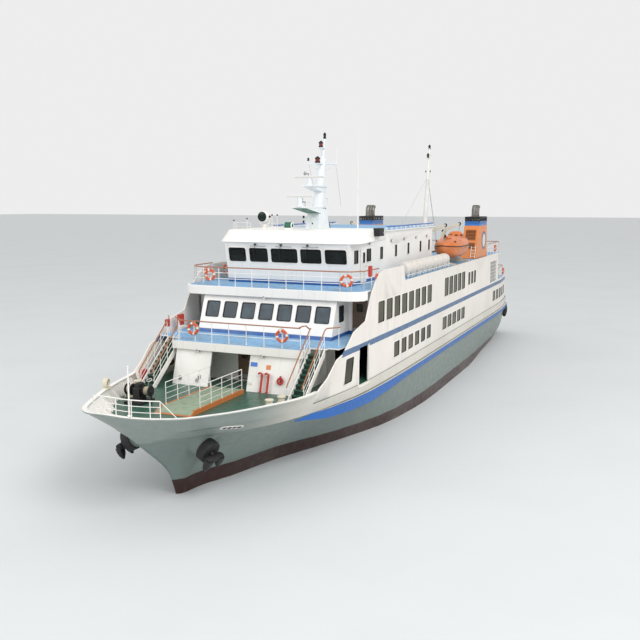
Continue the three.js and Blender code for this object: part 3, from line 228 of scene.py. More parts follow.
# Toughened pane with a tint: near black from outside, with sharp highlights, a dusty film and a slight wave
def pane(name, code, film, amount=0.35, curtain=None, shine=0.4):
    coat = Coat(name, code)
    if curtain:
        # Curtain folds 60 mm apart on the model, drawn or open as each cabin has them
        folds = add(coat.tree, "TexWave",
                    {"Vector": coat.point, "Scale": 5.0, "Distortion": 2.5, "Detail": 2.0},
                    wave_type="BANDS", bands_direction="X")
        drawn = add(coat.tree, "Math", {0: folds.outputs["Fac"], 1: coat.grain(1.1, 1.0)},
                    operation="MULTIPLY")
        share = add(coat.tree, "MapRange", {"Value": drawn.outputs[0], "From Min": 0.18, "From Max": 0.5,
                                            "To Max": 0.75})
        coat.lay(share.outputs[0], curtain)
    coat.stain(film, amount, 2.4)
    return coat.ready(0.05, [(coat.grain(1.3, 1.0), 1.0)], 0.002, spread=0.1,
                      sockets={"IOR": 1.45, "Specular IOR Level": shine})


# Bare metal, rolled, cast or turned: fine scratches under a dull film of salt
def metal(name, code, gloss, stain="#5a4a3c", amount=0.3):
    coat = Coat(name, code)
    coat.stain(stain, amount, 5.0)
    return coat.ready(gloss, [(coat.grain(60.0), 1.0)], 0.0008, gloss_scale=40.0, sockets={"Metallic": 1.0})


# Moulded rubber and vinyl: matt, scuffed pale on the corners
def rubber(name, code, scuff, gloss=0.6):
    coat = Coat(name, code)
    coat.stain(scuff, 0.4, 9.0, 0.5, 0.78, detail=5.0)
    return coat.ready(gloss, [(coat.grain(70.0), 1.0)], 0.0012, gloss_scale=20.0, sockets={"IOR": 1.5})


# Laid polyester rope: strands 15 mm wide on a slant, dull and hairy
def laid_rope(name, code):
    coat = Coat(name, code)
    strands = add(coat.tree, "TexWave",
                  {"Vector": coat.point, "Scale": 18.0, "Distortion": 1.5, "Detail": 2.0},
                  wave_type="BANDS", bands_direction="DIAGONAL").outputs["Fac"]
    # Painted shade: the hollows between the strands are darkened
    strand_hollow_shade = add(coat.tree, "MapRange", {"Value": strands, "From Max": 0.7, "To Min": 0.5, "To Max": 0.0})
    coat.lay(strand_hollow_shade.outputs[0], "#6f695a")
    coat.stain("#7d7a6c", 0.45, 8.0)
    return coat.ready(0.75, [(strands, 1.0)], 0.006, sockets={"IOR": 1.5, "Sheen Weight": 0.2})


# The flare's grey is grey paint below the knuckle, darkened further by painted shade because the flare faces
# down
BOOT_TOP, GREY_FLARE_WITH_PAINTED_SHADE, STRIPE, SKIRTING, RAIL_BLUE = "#351610", "#76847f", "#46688f", "#1f5a9d", "#1f62b0"
WHITE = enamel("white_enamel_on_plate", "#f3f1ec", dirt=0.2)
# Painted shade: the bow's white is dulled, and turns grey towards the stem where the flare faces down
BOW_WHITE_WITH_PAINTED_SHADE = enamel("bow_enamel_with_painted_shade", "#dad5ca", bow="#8a9590", dirt=0.5, seams=False)
BULWARK_WHITE = enamel("bulwark_enamel_inside", "#d6d3ca", dirt=0.35, seams=False)
# The hull's white is dulled by painted shade, and its bow turns grey with painted shade
HULL_PAINT = enamel("hull_enamel_over_antifouling", "#dad5ca",
                    [(-4.0, 0.81, BOOT_TOP), (0.81, 3.3, GREY_FLARE_WITH_PAINTED_SHADE)], deck="#2f5a4a", dirt=0.5,
                    bow="#8a9590")
SHELL_PAINT = enamel("side_enamel_with_stripe", "#ebe5dd", [(5.84, 6.17, STRIPE)], rake=24.0, dirt=0.4)
SALOON_PAINT = enamel("saloon_enamel", "#f1eeea", [(6.2, 6.45, SKIRTING)], seams=False, dirt=0.25)
BRIDGE_PAINT = enamel("wheelhouse_enamel", "#f1eeea", [(8.8, 9.13, SKIRTING)], seams=False, dirt=0.25)
FUNNEL_PAINT = enamel("funnel_enamel", "#dd8440", [(11.76, 12.2, "#2f6fb5")], dirt=0.5)
# A dark sheet behind the louvre slats: painted shade between them
LOUVRE_PAINTED_SHADE = gear_enamel("louvre_painted_shade", "#5a3219")
# A dark grey sheet at the back of the barred openings: painted shade
OPENING_PAINTED_SHADE = gear_enamel("opening_painted_shade", "#4c5354")
STRIPE_PAINT = gear_enamel("stripe_enamel", STRIPE)
RUB_PAINT = gear_enamel("rub_rail_enamel", RAIL_BLUE, wear="#31507a")
BLUE_DECK = deck_coating("blue_deck_coating", "#86b4dc")
GREEN_DECK = deck_coating("green_deck_coating", "#33604d", worn="#5d7f6c")
STAIR_GREEN = deck_coating("stair_coating", "#1d3d30", worn="#3d5a4b")
RAMP_DECK = deck_coating("ramp_tread_coating", "#8fa088", worn="#a7b09c")
RAIL_WHITE = gear_enamel("rail_enamel_white", "#efece6", wear="#9b958a", amount=0.25)
RAIL_BROWN = gear_enamel("rail_enamel_brown", "#a56c4c", wear="#7c543f")
MAST_WHITE = gear_enamel("mast_enamel", "#e4e9ec", wear="#a3a8a8", amount=0.25)
CREAM = gear_enamel("gear_enamel_cream", "#d9d2bd", wear="#8c7757", amount=0.5)
DOOR_PAINT = gear_enamel("door_enamel", "#67503c")
RAMP_ORANGE = gear_enamel("ramp_edge_enamel", "#c4743a", wear="#8a5a3c", amount=0.5)
GEAR_BLACK = gear_enamel("bitumen_paint", "#19191b", gloss=0.5, wear="#3a332d", amount=0.4)
SIGNAL_RED = gear_enamel("fire_gear_enamel", "#b8352b", wear="#7c2b22")
SIGN_BLUE = gear_enamel("sign_enamel_blue", "#3b74c4", amount=0.1)
SIGN_ORANGE = gear_enamel("sign_enamel_orange", "#e0864a", amount=0.1)
MARK_WHITE = gear_enamel("mark_enamel_white", "#dad8d0", amount=0.2)
LAMP_GREEN = gear_enamel("drum_enamel_green", "#14644c", gloss=0.3)
ANTIFOULING = gear_enamel("antifouling_paint", "#5b261d", gloss=0.55, wear="#3b3a2f")
BOAT_ORANGE = gelcoat("lifeboat_gelcoat", "#d2702f", "#dd9a62")
RAFT_WHITE = gelcoat("canister_gelcoat", "#d8d1c9", "#c4bdb3")
BUOY_ORANGE = rubber("lifebuoy_vinyl_orange", "#d2552c", "#c98a68", gloss=0.4)
BUOY_WHITE = rubber("lifebuoy_band_white", "#e4e0d6", "#a9a398", gloss=0.45)
BLACK_RUBBER = rubber("fender_rubber", "#1b1b1c", "#8b8880")
GASKET = rubber("window_gasket", "#202427", "#4f5254", gloss=0.5)
BRIDGE_PANE = pane("wheelhouse_pane", "#0c1212", "#39474a", 0.25, shine=0.25)
SALOON_PANE = pane("saloon_pane", "#172a34", "#3f5a66", 0.6, shine=0.4)
SIDE_PANE = pane("side_pane_with_curtain", "#1c1d16", "#47452f", curtain="#7d7450", shine=0.2)
LENS = pane("searchlight_lens", "#06201c", "#1d4a42", shine=0.4)
STEEL = metal("galvanised_steel", "#a7abab", 0.35)
EXHAUST = metal("exhaust_steel", "#8d8b86", 0.4, "#3a332d", 0.6)
BRONZE = metal("cast_bronze", "#b08a4a", 0.22, "#4e5b45")
LAMP_RED = gear_enamel("lamp_glass_red", "#7c2a20", gloss=0.15, wear="#4a1a14")
ROPE = laid_rope("laid_mooring_rope", "#c2b89c")


# Making meshes

def spin_frame(direction):
    """Two directions square to the given one and to each other."""
    side = UP if abs(direction.z) < 0.9 else Vector((1, 0, 0))
    first = direction.cross(side).normalized()
    return first, direction.cross(first).normalized()


def rounded(width, height, radius, steps=4):
    """A rectangle with round corners, counter-clockwise, about its middle."""
    corners = ((1, 1, 0), (-1, 1, 90), (-1, -1, 180), (1, -1, 270))
    points = []
    for across, up, start in corners:
        for k in range(steps + 1):
            turn = math.radians(start + 90 * k / steps)
            points.append((across * (width / 2 - radius) + radius * math.cos(turn),
                           up * (height / 2 - radius) + radius * math.sin(turn)))
    return points


def circle(radius, sides=20):
    turns = [math.tau * k / sides for k in range(sides)]
    return [(radius * math.cos(turn), radius * math.sin(turn)) for turn in turns]


def put(name, data):
    """Adds an object to the scene."""
    made = bpy.data.objects.new(name, data)
    bpy.context.scene.collection.objects.link(made)
    return made


def shaped(mesh, name, finishes, sharp):
    """Ends a mesh in the making, and adds it to the scene with its finishes."""
    data = bpy.data.meshes.new(name)
    mesh.to_mesh(data)
    mesh.free()
    for finish in finishes:
        data.materials.append(finish)
    data.set_sharp_from_angle(angle=math.radians(sharp))
    return put(name, data)


class Wall:
    """A flat place on a wall. Right and up lie in it, and out points away from the ship."""

    def __init__(self, point, right, up=UP):
        self.point = Vector(point)
        self.right = Vector(right).normalized()
        self.out = self.right.cross(Vector(up)).normalized()
        self.up = self.out.cross(self.right).normalized()

    def at(self, across, high, out=0.0):
        return self.point + self.right * across + self.up * high + self.out * out


class Piece:
    """One object of the scene, which gathers small parts of a body. Its sizes are full-size metres."""

    def __init__(self, name, body="ship"):
        self.name = name
        self.body = body
        self.mesh = bmesh.new()
        self.finishes = []

    def faces(self, points, groups):
        """Adds points and the sides between them, grouped by finish."""
        corners = [self.mesh.verts.new(Vector(point) * SCALE) for point in points]
        for finish, sides in groups.items():
            if finish not in self.finishes:
                self.finishes.append(finish)
            for side in sides:
                face = self.mesh.faces.new([corners[index] for index in side])
                face.material_index = self.finishes.index(finish)
                face.smooth = True

    def loft(self, rings, finish, closed=False, caps=True, bands=()):
        """Skins a row of rings, each with as many points. Bands gives other finishes by ring number."""
        count = len(rings[0])
        points = [point for ring in rings for point in ring]
        groups = {}
        for r in range(len(rings) if closed else len(rings) - 1):
            low, high = r * count, ((r + 1) % len(rings)) * count
            paint = dict(bands).get(r, finish)
            for p in range(count):
                q = (p + 1) % count
                groups.setdefault(paint, []).append((low + p, low + q, high + q, high + p))
        if caps and not closed:
            ends = [tuple(reversed(range(count))), tuple(range(len(points) - count, len(points)))]
            groups.setdefault(finish, []).extend(ends)
        self.faces(points, groups)

    def box(self, low, high, finish, ease=0.012, turn=None):
        """A box with eased edges. Turn is a matrix that places it, if it isn't square to the ship."""
        low, high = ([min(pair) for pair in zip(low, high)], [max(pair) for pair in zip(low, high)])
        ease = min([ease, *[(b - a) * 0.4 for a, b in zip(low, high)]])
        rings = []
        for z, cut in ((low[2], ease), (low[2] + ease, 0), (high[2] - ease, 0), (high[2], ease)):
            (x0, y0), (x1, y1) = ((low[0] + cut, low[1] + cut), (high[0] - cut, high[1] - cut))
            e = ease * 0.8
            ring = [(x0 + e, y0), (x1 - e, y0), (x1, y0 + e), (x1, y1 - e),
                    (x1 - e, y1), (x0 + e, y1), (x0, y1 - e), (x0, y0 + e)]
            rings.append([Vector((x, y, z)) for x, y in ring])
        if turn is not None:
            rings = [[turn @ point for point in ring] for ring in rings]
        self.loft(rings, finish)

    def block(self, x, y, wide, deep, low, high, finish, ease=0.012):
        """A box that reaches as far ahead as astern of its middle, and as far to port as to starboard."""
        self.box((x - wide, y - deep, low), (x + wide, y + deep, high), finish, ease)

    def turned(self, start, direction, profile, finish, sides=20):
        """A turned shape. The profile gives distances along the axis and radii."""
        direction = Vector(direction).normalized()
        first, second = spin_frame(direction)
        rings = []
        for along, radius in profile:
            middle = Vector(start) + direction * along
            rings.append([middle + first * u + second * v for u, v in circle(max(radius, 0.0005), sides)])
        self.loft(rings, finish)

    def rod(self, start, end, radius, finish, sides=8, tip=None):
        run = Vector(end) - Vector(start)
        self.turned(start, run, [(0, radius), (run.length, radius if tip is None else tip)], finish, sides)

    def pipe(self, points, radius, finish, sides=8, closed=False):
        """A bent tube along a line of points."""
        points = [Vector(point) for point in points]
        count = len(points)
        rings = []
        first = None
        for i, point in enumerate(points):
            before = points[i - 1] if i or closed else point
            after = points[(i + 1) % count] if i < count - 1 or closed else point
            run = (after - before).normalized()
            if first is None:
                first = spin_frame(run)[0]
            first = (first - run * first.dot(run)).normalized()
            second = run.cross(first)
            rings.append([point + first * u + second * v for u, v in circle(radius, sides)])
        self.loft(rings, finish, closed)

    def ring(self, middle, axis, radius, thick, finish, turns=24, sides=8):
        first, second = spin_frame(Vector(axis).normalized())
        line = [Vector(middle) + first * u + second * v for u, v in circle(radius, turns)]
        self.pipe(line, thick, finish, sides, closed=True)

    def plate(self, wall, across, high, outline, back, front, finish, ease=0.006):
        """A plate on a wall with a given outline, from its back to its front, with an eased front edge."""
        reach = max(max(abs(u), abs(v)) for u, v in outline)
        inner = 1 - ease / reach
        rings = []
        for out, size in ((back, 1), (front - ease, 1), (front, inner)):
            rings.append([wall.at(across + u * size, high + v * size, out) for u, v in outline])
        self.loft(rings, finish)

    def slab(self, shape, start, end, finish):
        """A flat shape in x and z, made solid from one y to another."""
        self.loft([[(x, y, z) for x, z in shape] for y in (start, end)], finish)

    def border(self, wall, across, high, outer, inner, back, front, finish, ease=0.008):
        """A flat ring on a wall between two outlines, with eased edges."""
        reach = max(max(abs(u), abs(v)) for u, v in outer)
        grow = 1 + ease / reach
        shrink = 1 - ease / reach
        rings = []
        for outline, out, size in ((outer, back, 1), (outer, front - ease, 1), (outer, front, shrink),
                                   (inner, front, grow), (inner, front - ease, 1), (inner, back, 1)):
            rings.append([wall.at(across + u * size, high + v * size, out) for u, v in outline])
        self.loft(rings, finish, closed=True)

    def done(self, *replaced, slot="white_paint"):
        bmesh.ops.recalc_face_normals(self.mesh, faces=self.mesh.faces)
        made = shaped(self.mesh, self.name, self.finishes, PIECE_SHARP)
        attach(made, self.body)
        if replaced:
            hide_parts(*replaced)


def surface_of(node):
    """The CAD node's skin, to find where a line meets it."""
    data = frame["nodes"][node].data
    return BVHTree.FromPolygons([v.co / SCALE for v in data.vertices], [p.vertices for p in data.polygons])


def placed(across, along, up, spot):
    """The matrix that turns a shape's own directions to these and moves it to a spot."""
    turn = Matrix((across, along, up)).transposed().to_4x4()
    turn.translation = spot
    return turn


def met(skin, start, direction):
    """Where a line from a point first meets a node's skin."""
    return skin.ray_cast(Vector(start), Vector(direction).normalized())[0]


def window(piece, wall, across, high, width, height, glass, radius=0.12, rim=0.07, finish=RAIL_WHITE):
    """A pane behind its rim, over an opening of the same size."""
    outer = rounded(width + 2 * rim, height + 2 * rim, radius + rim)
    inner = rounded(width - 0.01, height - 0.01, radius)
    gasket = rounded(width - 0.07, height - 0.07, radius * 0.8)
    piece.border(wall, across, high, outer, inner, -0.02, 0.022, finish)
    piece.border(wall, across, high, inner, gasket, -0.035, 0.008, GASKET, ease=0.004)
    piece.plate(wall, across, high, inner, -0.06, -0.022, glass, ease=0.002)


def skinned(name, node, finishes, ease=0.0):
    """A faired skin over a CAD node: flat parts joined, edges eased and curves shaded smooth.

    Finishes are pairs of a test on a face, by its centre and normal, and the finish that it takes."""
    made = bmesh.new()
    made.from_mesh(frame["nodes"][node].data)
    bmesh.ops.remove_doubles(made, verts=made.verts, dist=WELD)
    if ease:
        bmesh.ops.dissolve_limit(made, angle_limit=math.radians(FLAT_ANGLE), verts=made.verts,
                                 edges=made.edges)
        bend = math.radians(EDGE_ANGLE)
        corners = [e for e in made.edges if len(e.link_faces) == 2 and e.calc_face_angle(0) > bend]
        bmesh.ops.bevel(made, geom=corners, offset=ease * SCALE, segments=1, affect="EDGES",
                        clamp_overlap=True)
    for face in made.faces:
        face.smooth = True
        face.material_index = 0
        for index, (test, _) in enumerate(finishes):
            if test(face.calc_center_median() / SCALE, face.normal):
                face.material_index = index
    skin = shaped(made, name, [finish for _, finish in finishes], SKIN_SHARP)
    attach(skin, frame["nodes"][node]["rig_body"])
    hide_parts(node)


# Windows and wipers

# Windows of each side. Columns: first x, width, pitch, count, sill z, head z
SHELL_WINDOWS = (
    (1.84, 1.13, 1.425, 8, 6.9, 8.15),
    (-8.2, 1.18, 1.34, 5, 6.86, 8.25),
    (-12.2, 0.82, 1.06, 3, 7.0, 8.05),
    (1.9, 1.05, 1.42, 6, 4.4, 5.35),
    (-8.35, 1.25, 1.46, 5, 4.4, 5.35),
    (-27.1, 1.2, 1.5, 5, 4.43, 5.4),
    (16.45, 1.05, 1.05, 1, 4.25, 5.65),
)


def side_wall(skin, side, x, z, width, height):
    """The flat place on a side shell about an opening, found from the plate around it."""
    dx, dz = width / 2 + 0.09, height / 2 + 0.09
    spots = ((x + dx, z), (x - dx, z), (x, z + dz), (x, z - dz))
    fore, aft, high, low = (met(skin, (a, side * OUTBOARD, b), (0, -side, 0)) for a, b in spots)
    return Wall((x, (fore.y + aft.y) / 2, z), (aft - fore) * side, high - low if high and low else UP)


def glaze_sides():
    for name, side in SIDES:
        skin = surface_of(f"side_shell_{name}")
        panes = Piece(f"side_windows_{name}")
        for first, width, pitch, count, sill, head in SHELL_WINDOWS:
            for k in range(count):
                x = first + k * pitch + width / 2
                wall = side_wall(skin, side, x, (sill + head) / 2, width, head - sill)
                window(panes, wall, 0, 0, width, head - sill, SIDE_PANE, radius=0.1, rim=0.04)
        panes.done()


def front_wall(foot, head, low, high):
    """A raked front across the ship: the x of its face at two levels."""
    return Wall((foot, 0, low), (0, 1, 0), (head - foot, 0, high - low))


def on_rake(wall, z):
    """How far up its slope a raked wall reaches a level."""
    return (z - wall.point.z) / wall.up.z


SALOON_WALL = front_wall(15.9, 14.9, DECK_2, 8.82)
BRIDGE_WALL = front_wall(12.5, 12.95, DECK_3, ROOF_EAVE)
MAIN_WALL = front_wall(19.4, 18.73, MAIN_DECK, 6.17)
# Front panes of the wheelhouse. Columns: starboard edge y, port edge y
BRIDGE_PANES = ((-3.88, -2.68), (-2.45, -1.18), (-0.98, 0.79), (0.97, 2.33), (2.54, 3.92))
BRIDGE_SILL, BRIDGE_HEAD = 10.18, 11.04
# Panes along the wheelhouse and deckhouse sides. Columns: first x, width
BRIDGE_SIDE_PANES = ((11.42, 0.75), (9.22, 0.86), (7.0, 0.6))
DECKHOUSE_PANES = ((4.1, 0.5), (1.3, 0.5), (-1.7, 0.5), (-4.0, 0.5))
SIDE_PANE_SILL, SIDE_PANE_HEAD = 10.17, 10.97


def glaze_fronts():
    saloon = Piece("saloon_windows")
    low, high = on_rake(SALOON_WALL, 7.13), on_rake(SALOON_WALL, 8.01)
    for k in range(7):
        y = (k - 3) * 1.173
        window(saloon, SALOON_WALL, y, (low + high) / 2, 0.86, high - low, SALOON_PANE, radius=0.08, rim=0.02,
               finish=GASKET)
    for _, side in SIDES:
        wall = Wall((14.43, side * SALOON_HALF, 7.57), (-side, 0, 0))
        window(saloon, wall, 0, 0, 0.64, 0.88, SALOON_PANE, radius=0.08, rim=0.03, finish=GASKET)
    saloon.done()
    bridge = Piece("wheelhouse_windows")
    low, high = on_rake(BRIDGE_WALL, BRIDGE_SILL), on_rake(BRIDGE_WALL, BRIDGE_HEAD)
    for start, end in BRIDGE_PANES:
        window(bridge, BRIDGE_WALL, (start + end) / 2, (low + high) / 2, end - start, high - low, BRIDGE_PANE,
               radius=0.13, rim=0.045)
    for _, side in SIDES:
        for x, width in (*BRIDGE_SIDE_PANES, *DECKHOUSE_PANES):
            level, height = (SIDE_PANE_SILL + SIDE_PANE_HEAD) / 2, SIDE_PANE_HEAD - SIDE_PANE_SILL
            wall = Wall((x + width / 2, side * BRIDGE_HALF, level), (-side, 0, 0))
            window(bridge, wall, 0, 0, width, height, BRIDGE_PANE, radius=0.07, rim=0.04)
    bridge.done()


# Rods of a wiper: rail, its two feet, arm and blade. Columns: two ends, radius, finish. An end is across,
# high and out from the middle of the rail
WIPER_RODS = (
    ((-0.5, 0, 0.05), (0.5, 0, 0.05), 0.014, STEEL),
    ((-0.5, 0, 0), (-0.5, 0, 0.06), 0.02, STEEL),
    ((0.5, 0, 0), (0.5, 0, 0.06), 0.02, STEEL),
    ((-0.15, 0.06, 0.07), (-0.32, -0.5, 0.06), 0.012, GEAR_BLACK),
    ((-0.32, -0.16, 0.05), (-0.3, -0.8, 0.04), 0.012, BLACK_RUBBER),
)


def wipers():
    arms = Piece("wheelhouse_wipers")
    top = on_rake(BRIDGE_WALL, BRIDGE_HEAD) + 0.12
    for start, end in BRIDGE_PANES[1:4]:
        middle = (start + end) / 2
        for first, last, radius, finish in WIPER_RODS:
            ends = [BRIDGE_WALL.at(middle + u, top + v, out) for u, v, out in (first, last)]
            arms.rod(*ends, radius, finish, 6)
        arms.box((-0.09, -0.045, -0.05), (0.09, 0.045, 0.05), GEAR_BLACK, 0.01,
                 Matrix.Translation(BRIDGE_WALL.at(middle - 0.15, top + 0.1, 0.05)))
    arms.done(slot="black_paint")


# Guard rails and lifebuoys

def mirrored(points):
    return [*points, *[(x, -y, z) for x, y, z in reversed(points)]]


# Lines of the open decks' rails. Columns: name, CAD node, points along the rail's foot, spacing of the posts
DECK_RAILS = (
    ("balcony_guard_rail", "deck_2_rail", [(18.7, 3.72, DECK_2), (18.7, -3.72, DECK_2)], 1.13),
    ("bridge_deck_guard_rail", "deck_3_rail",
     mirrored([(12.0, 5.6, DECK_3), (14.2, 5.5, DECK_3), (14.8, 5.0, DECK_3), (15.02, 4.4, DECK_3)]), 1.13),
    ("boat_deck_aft_guard_rail", "deck_3_aft_rail",
     mirrored([(-18.2, 5.7, DECK_3), (-23.75, 5.66, DECK_3)]), 1.5),
    ("saloon_deck_aft_guard_rail", "deck_2_aft_rail",
     mirrored([(-22.6, 5.7, DECK_2), (-24.0, 5.66, DECK_2), (-27.85, 5.32, DECK_2)]), 1.5),
)


def guard_rail(piece, line, spacing, heights=(RAIL_HEIGHT, 0.76, 0.42), top=RAIL_BROWN,
               thick=0.035, posts=0.022):
    """Posts with a top rail and lower bars, along a line at the posts' feet."""
    line = [Vector(point) for point in line]
    for height in heights:
        first = height == heights[0]
        piece.pipe([point + UP * height for point in line], thick if first else thick * 0.55,
                   top if first else RAIL_WHITE)
    for start, end in zip(line, line[1:]):
        count = max(1, round((end - start).length / spacing))
        for k in range(count + 1):
            foot = start.lerp(end, k / count)
            piece.rod(foot, foot + UP * heights[0], posts, RAIL_WHITE)
            piece.turned(foot, UP, [(0, posts * 2.4), (0.012, posts * 2.4), (0.03, posts)], RAIL_WHITE, 8)


TOE_FORE, TOE_AFT, TOE_BRACKETS = 6.3, -4.85, 12


def deck_rails():
    for name, node, line, spacing in DECK_RAILS:
        piece = Piece(name)
        guard_rail(piece, line, spacing)
        if node == "deck_2_rail":
            # Each end rises over the stair head and comes down to the inner handrail
            for side in WAYS:
                level = DECK_2 + RAIL_HEIGHT
                bend = [(18.7, side * 3.6, level), (18.68, side * 3.8, level + 0.1),
                        (18.6, side * 3.98, level + 0.14), (18.2, side * 3.995, level - 0.08)]
                piece.pipe(bend, 0.035, RAIL_BROWN)
        piece.done(node)
    # Low blue toe rail along the top deck, on white brackets a metre apart
    piece = Piece("top_deck_toe_rail")
    for side in WAYS:
        start = Vector((TOE_FORE, side * BRIDGE_HALF, TOP_DECK))
        end = Vector((TOE_AFT, side * BRIDGE_HALF, TOP_DECK))
        low, high = TOP_DECK + 0.16, TOP_DECK + 0.24
        piece.box((TOE_AFT, side * 4.075, low), (TOE_FORE, side * 4.125, high), RUB_PAINT)
        for k in range(TOE_BRACKETS):
            foot = start.lerp(end, k / (TOE_BRACKETS - 1))
            piece.box(foot + Vector((-0.03, -0.05, 0)), foot + Vector((0.03, 0.05, 0.17)), RAIL_WHITE)
            brace = [foot + Vector((0, -side * wide, up)) for wide, up in ((0.18, 0), (0.02, 0.17))]
            piece.rod(*brace, 0.016, RAIL_WHITE)
    piece.done("top_deck_rail")


# Lifebuoys. Columns: x, y, z of the middle, and the direction that the ring faces
LIFEBUOYS = (
    (18.79, 2.69, 6.88, (1, 0, 0)),
    (18.79, -2.72, 6.92, (1, 0, 0)),
    (15.02, -3.9, 9.52, (1, 0, 0)),
    (14.92, 4.75, 9.49, (0.9, 0.35, 0)),
    (12.45, 5.69, 9.42, (0, 1, 0)),
    (12.45, -5.69, 9.42, (0, -1, 0)),
    (10.3, -5.58, 9.45, (0, 1, 0)),
    (-21.34, 5.78, 9.46, (0, 1, 0)),
    (-21.34, -5.78, 9.46, (0, -1, 0)),
    (-27.7, 5.44, 6.75, (0, 1, 0)),
    (-27.7, -5.44, 6.75, (0, -1, 0)),
)


def lifebuoy(piece, middle, axis):
    """A vinyl ring with four white bands and a grab line, on a hook."""
    axis = Vector(axis).normalized()
    first, second = spin_frame(axis)
    middle = Vector(middle)
    turns = 32
    rings = []
    for k in range(turns):
        turn = math.tau * k / turns
        out = first * math.cos(turn) + second * math.sin(turn)
        rings.append([middle + out * (0.285 + u) + axis * v for u, v in circle(0.075, 10)])
    bands = {k: BUOY_WHITE for k in range(turns) if k % 8 < 2}
    piece.loft(rings, BUOY_ORANGE, closed=True, bands=bands)
    line = []
    for k in range(24):
        turn = math.tau * (k + 0.5) / 24
        bow = 0.37 + 0.025 * math.cos(turn * 4)
        line.append(middle + (first * math.cos(turn) + second * math.sin(turn)) * bow)
    piece.pipe(line, 0.01, ROPE, 6, closed=True)


def lifebuoys():
    piece = Piece("lifebuoys")
    for x, y, z, facing in LIFEBUOYS:
        lifebuoy(piece, (x, y, z), facing)
        back = Vector((x, y, z)) - Vector(facing).normalized() * 0.1
        piece.box((-0.03, -0.03, -0.34), (0.03, 0.03, 0.3), RAIL_WHITE, 0.008, Matrix.Translation(back))
    piece.done(slot="orange_plastic")


# Stairs and boarding ramp

STAIR_TOP, STAIR_FOOT, STAIR_INNER, STAIR_OUTER = 18.1, 20.8, 3.97, 4.86
TREADS = 10


def stairs():
    run, rise = STAIR_FOOT - STAIR_TOP, DECK_2 - MAIN_DECK
    for name, side in SIDES:
        piece = Piece(f"foredeck_stair_{name}")
        slope = [(STAIR_TOP + 0.02, DECK_2 - 0.02), (STAIR_FOOT + 0.12, MAIN_DECK + 0.08),
                 (STAIR_FOOT + 0.12, MAIN_DECK + 0.002), (STAIR_FOOT - 0.2, MAIN_DECK + 0.002),
                 (STAIR_TOP + 0.02, DECK_2 - 0.38)]
        for y in (STAIR_INNER, STAIR_OUTER - 0.06):
            piece.slab(slope, side * y, side * (y + 0.06), RAIL_WHITE)
        for k in range(1, TREADS + 1):
            x = STAIR_TOP + run * k / (TREADS + 1)
            z = DECK_2 - rise * k / (TREADS + 1)
            inner, outer = side * (STAIR_INNER + 0.02), side * (STAIR_OUTER - 0.02)
            piece.box((x - 0.14, inner, z - 0.115), (x + 0.13, outer, z - 0.08), STAIR_GREEN)
            piece.box((x + 0.11, inner, z - 0.14), (x + 0.15, outer, z - 0.075), GREEN_DECK)
            piece.box((x + 0.08, inner, z - 0.33), (x + 0.1, outer, z - 0.1), STAIR_GREEN, 0.004)
        for y in (STAIR_INNER + 0.025, STAIR_OUTER - 0.025):
            bars = ((0.98, 0.034, RAIL_BROWN), (0.7, 0.013, RAIL_WHITE), (0.42, 0.013, RAIL_WHITE))
            for height, radius, finish in bars:
                high = Vector((STAIR_TOP + 0.05, side * y, DECK_2 + height - 0.04))
                low = Vector((STAIR_FOOT + 0.02, side * y, MAIN_DECK + height - 0.02))
                line = [high + Vector((-0.15, 0, 0.06)), high, low, low + Vector((0.1, 0, -0.14))]
                piece.pipe(line if finish is RAIL_BROWN else [high, low], radius, finish)
            for t in (0.03, 0.27, 0.5, 0.74, 0.97):
                x, z = STAIR_TOP + run * t, DECK_2 - rise * t
                foot = max(z - 0.2, MAIN_DECK + 0.002)
                piece.rod((x, side * y, foot), (x, side * y, z + 0.96), 0.019, RAIL_WHITE)
        # The outer handrail runs on level to the side plating
        rail = [(STAIR_TOP - 0.1, STAIR_OUTER - 0.025, DECK_2 + 1.0),
                (STAIR_TOP - 0.2, STAIR_OUTER + 0.02, DECK_2 + 1.04), (17.3, 5.35, DECK_2 + 1.04)]
        piece.pipe([(x, side * y, z) for x, y, z in rail], 0.034, RAIL_BROWN)
        piece.rod((17.35, side * 5.3, DECK_2), (17.35, side * 5.3, DECK_2 + 1.04), 0.02, RAIL_WHITE)
        piece.done(f"stair_{name}", slot="green_deck_paint")


RAMP_AFT, RAMP_FRONT, RAMP_HALF, RAMP_TOP = 19.85, 24.9, 1.0, 4.12


def boarding_ramp():
    piece = Piece("boarding_ramp_deck", "ramp")
    low, high = MAIN_DECK + SEAT, RAMP_TOP
    nose = RAMP_FRONT - 0.35
    side_view = [(RAMP_AFT, low), (RAMP_FRONT, low), (RAMP_FRONT, low + 0.02), (nose, high - 0.012),
                 (RAMP_AFT, high - 0.012)]
    piece.slab(side_view, -RAMP_HALF, RAMP_HALF, RAMP_ORANGE)
    slope = Matrix.Rotation(math.atan2(high - low - 0.03, RAMP_FRONT - nose), 4, "Y")
    slope.translation = Vector(((nose + RAMP_FRONT) / 2, 0, (high + low) / 2 + 0.012))
    inside = RAMP_HALF - 0.06
    piece.box((-0.19, -inside, -0.01), (0.13, inside, 0.004), RAMP_DECK, 0.003, slope)
    # Coated tread plate between orange curbs, with foot bars across it
    piece.box((RAMP_AFT + 0.02, -inside, high - 0.02), (nose - 0.02, inside, high), RAMP_DECK, 0.004)
    for k in range(14):
        x = RAMP_AFT + 0.3 + k * 0.32
        bar = RAMP_HALF - 0.16
        piece.box((x, -bar, high - 0.01), (x + 0.03, bar, high + 0.012), RAMP_DECK, 0.004)
    for side in WAYS:
        y = side * (RAMP_HALF - 0.035)
        piece.box((RAMP_AFT, y - 0.03, high - 0.02), (nose, y + 0.03, high + 0.03), RAMP_ORANGE)
        rail = side * (RAMP_HALF - 0.04)
        foot, end = (RAMP_AFT + 0.15, rail, high), (RAMP_FRONT - 0.9, rail, high)
        guard_rail(piece, [foot, end], 1.0, (RAIL_HEIGHT, 0.8, 0.53, 0.26), RAIL_WHITE, 0.022, 0.02)
    piece.done("boarding_ramp", slot="green_deck_paint")


# Foredeck gear

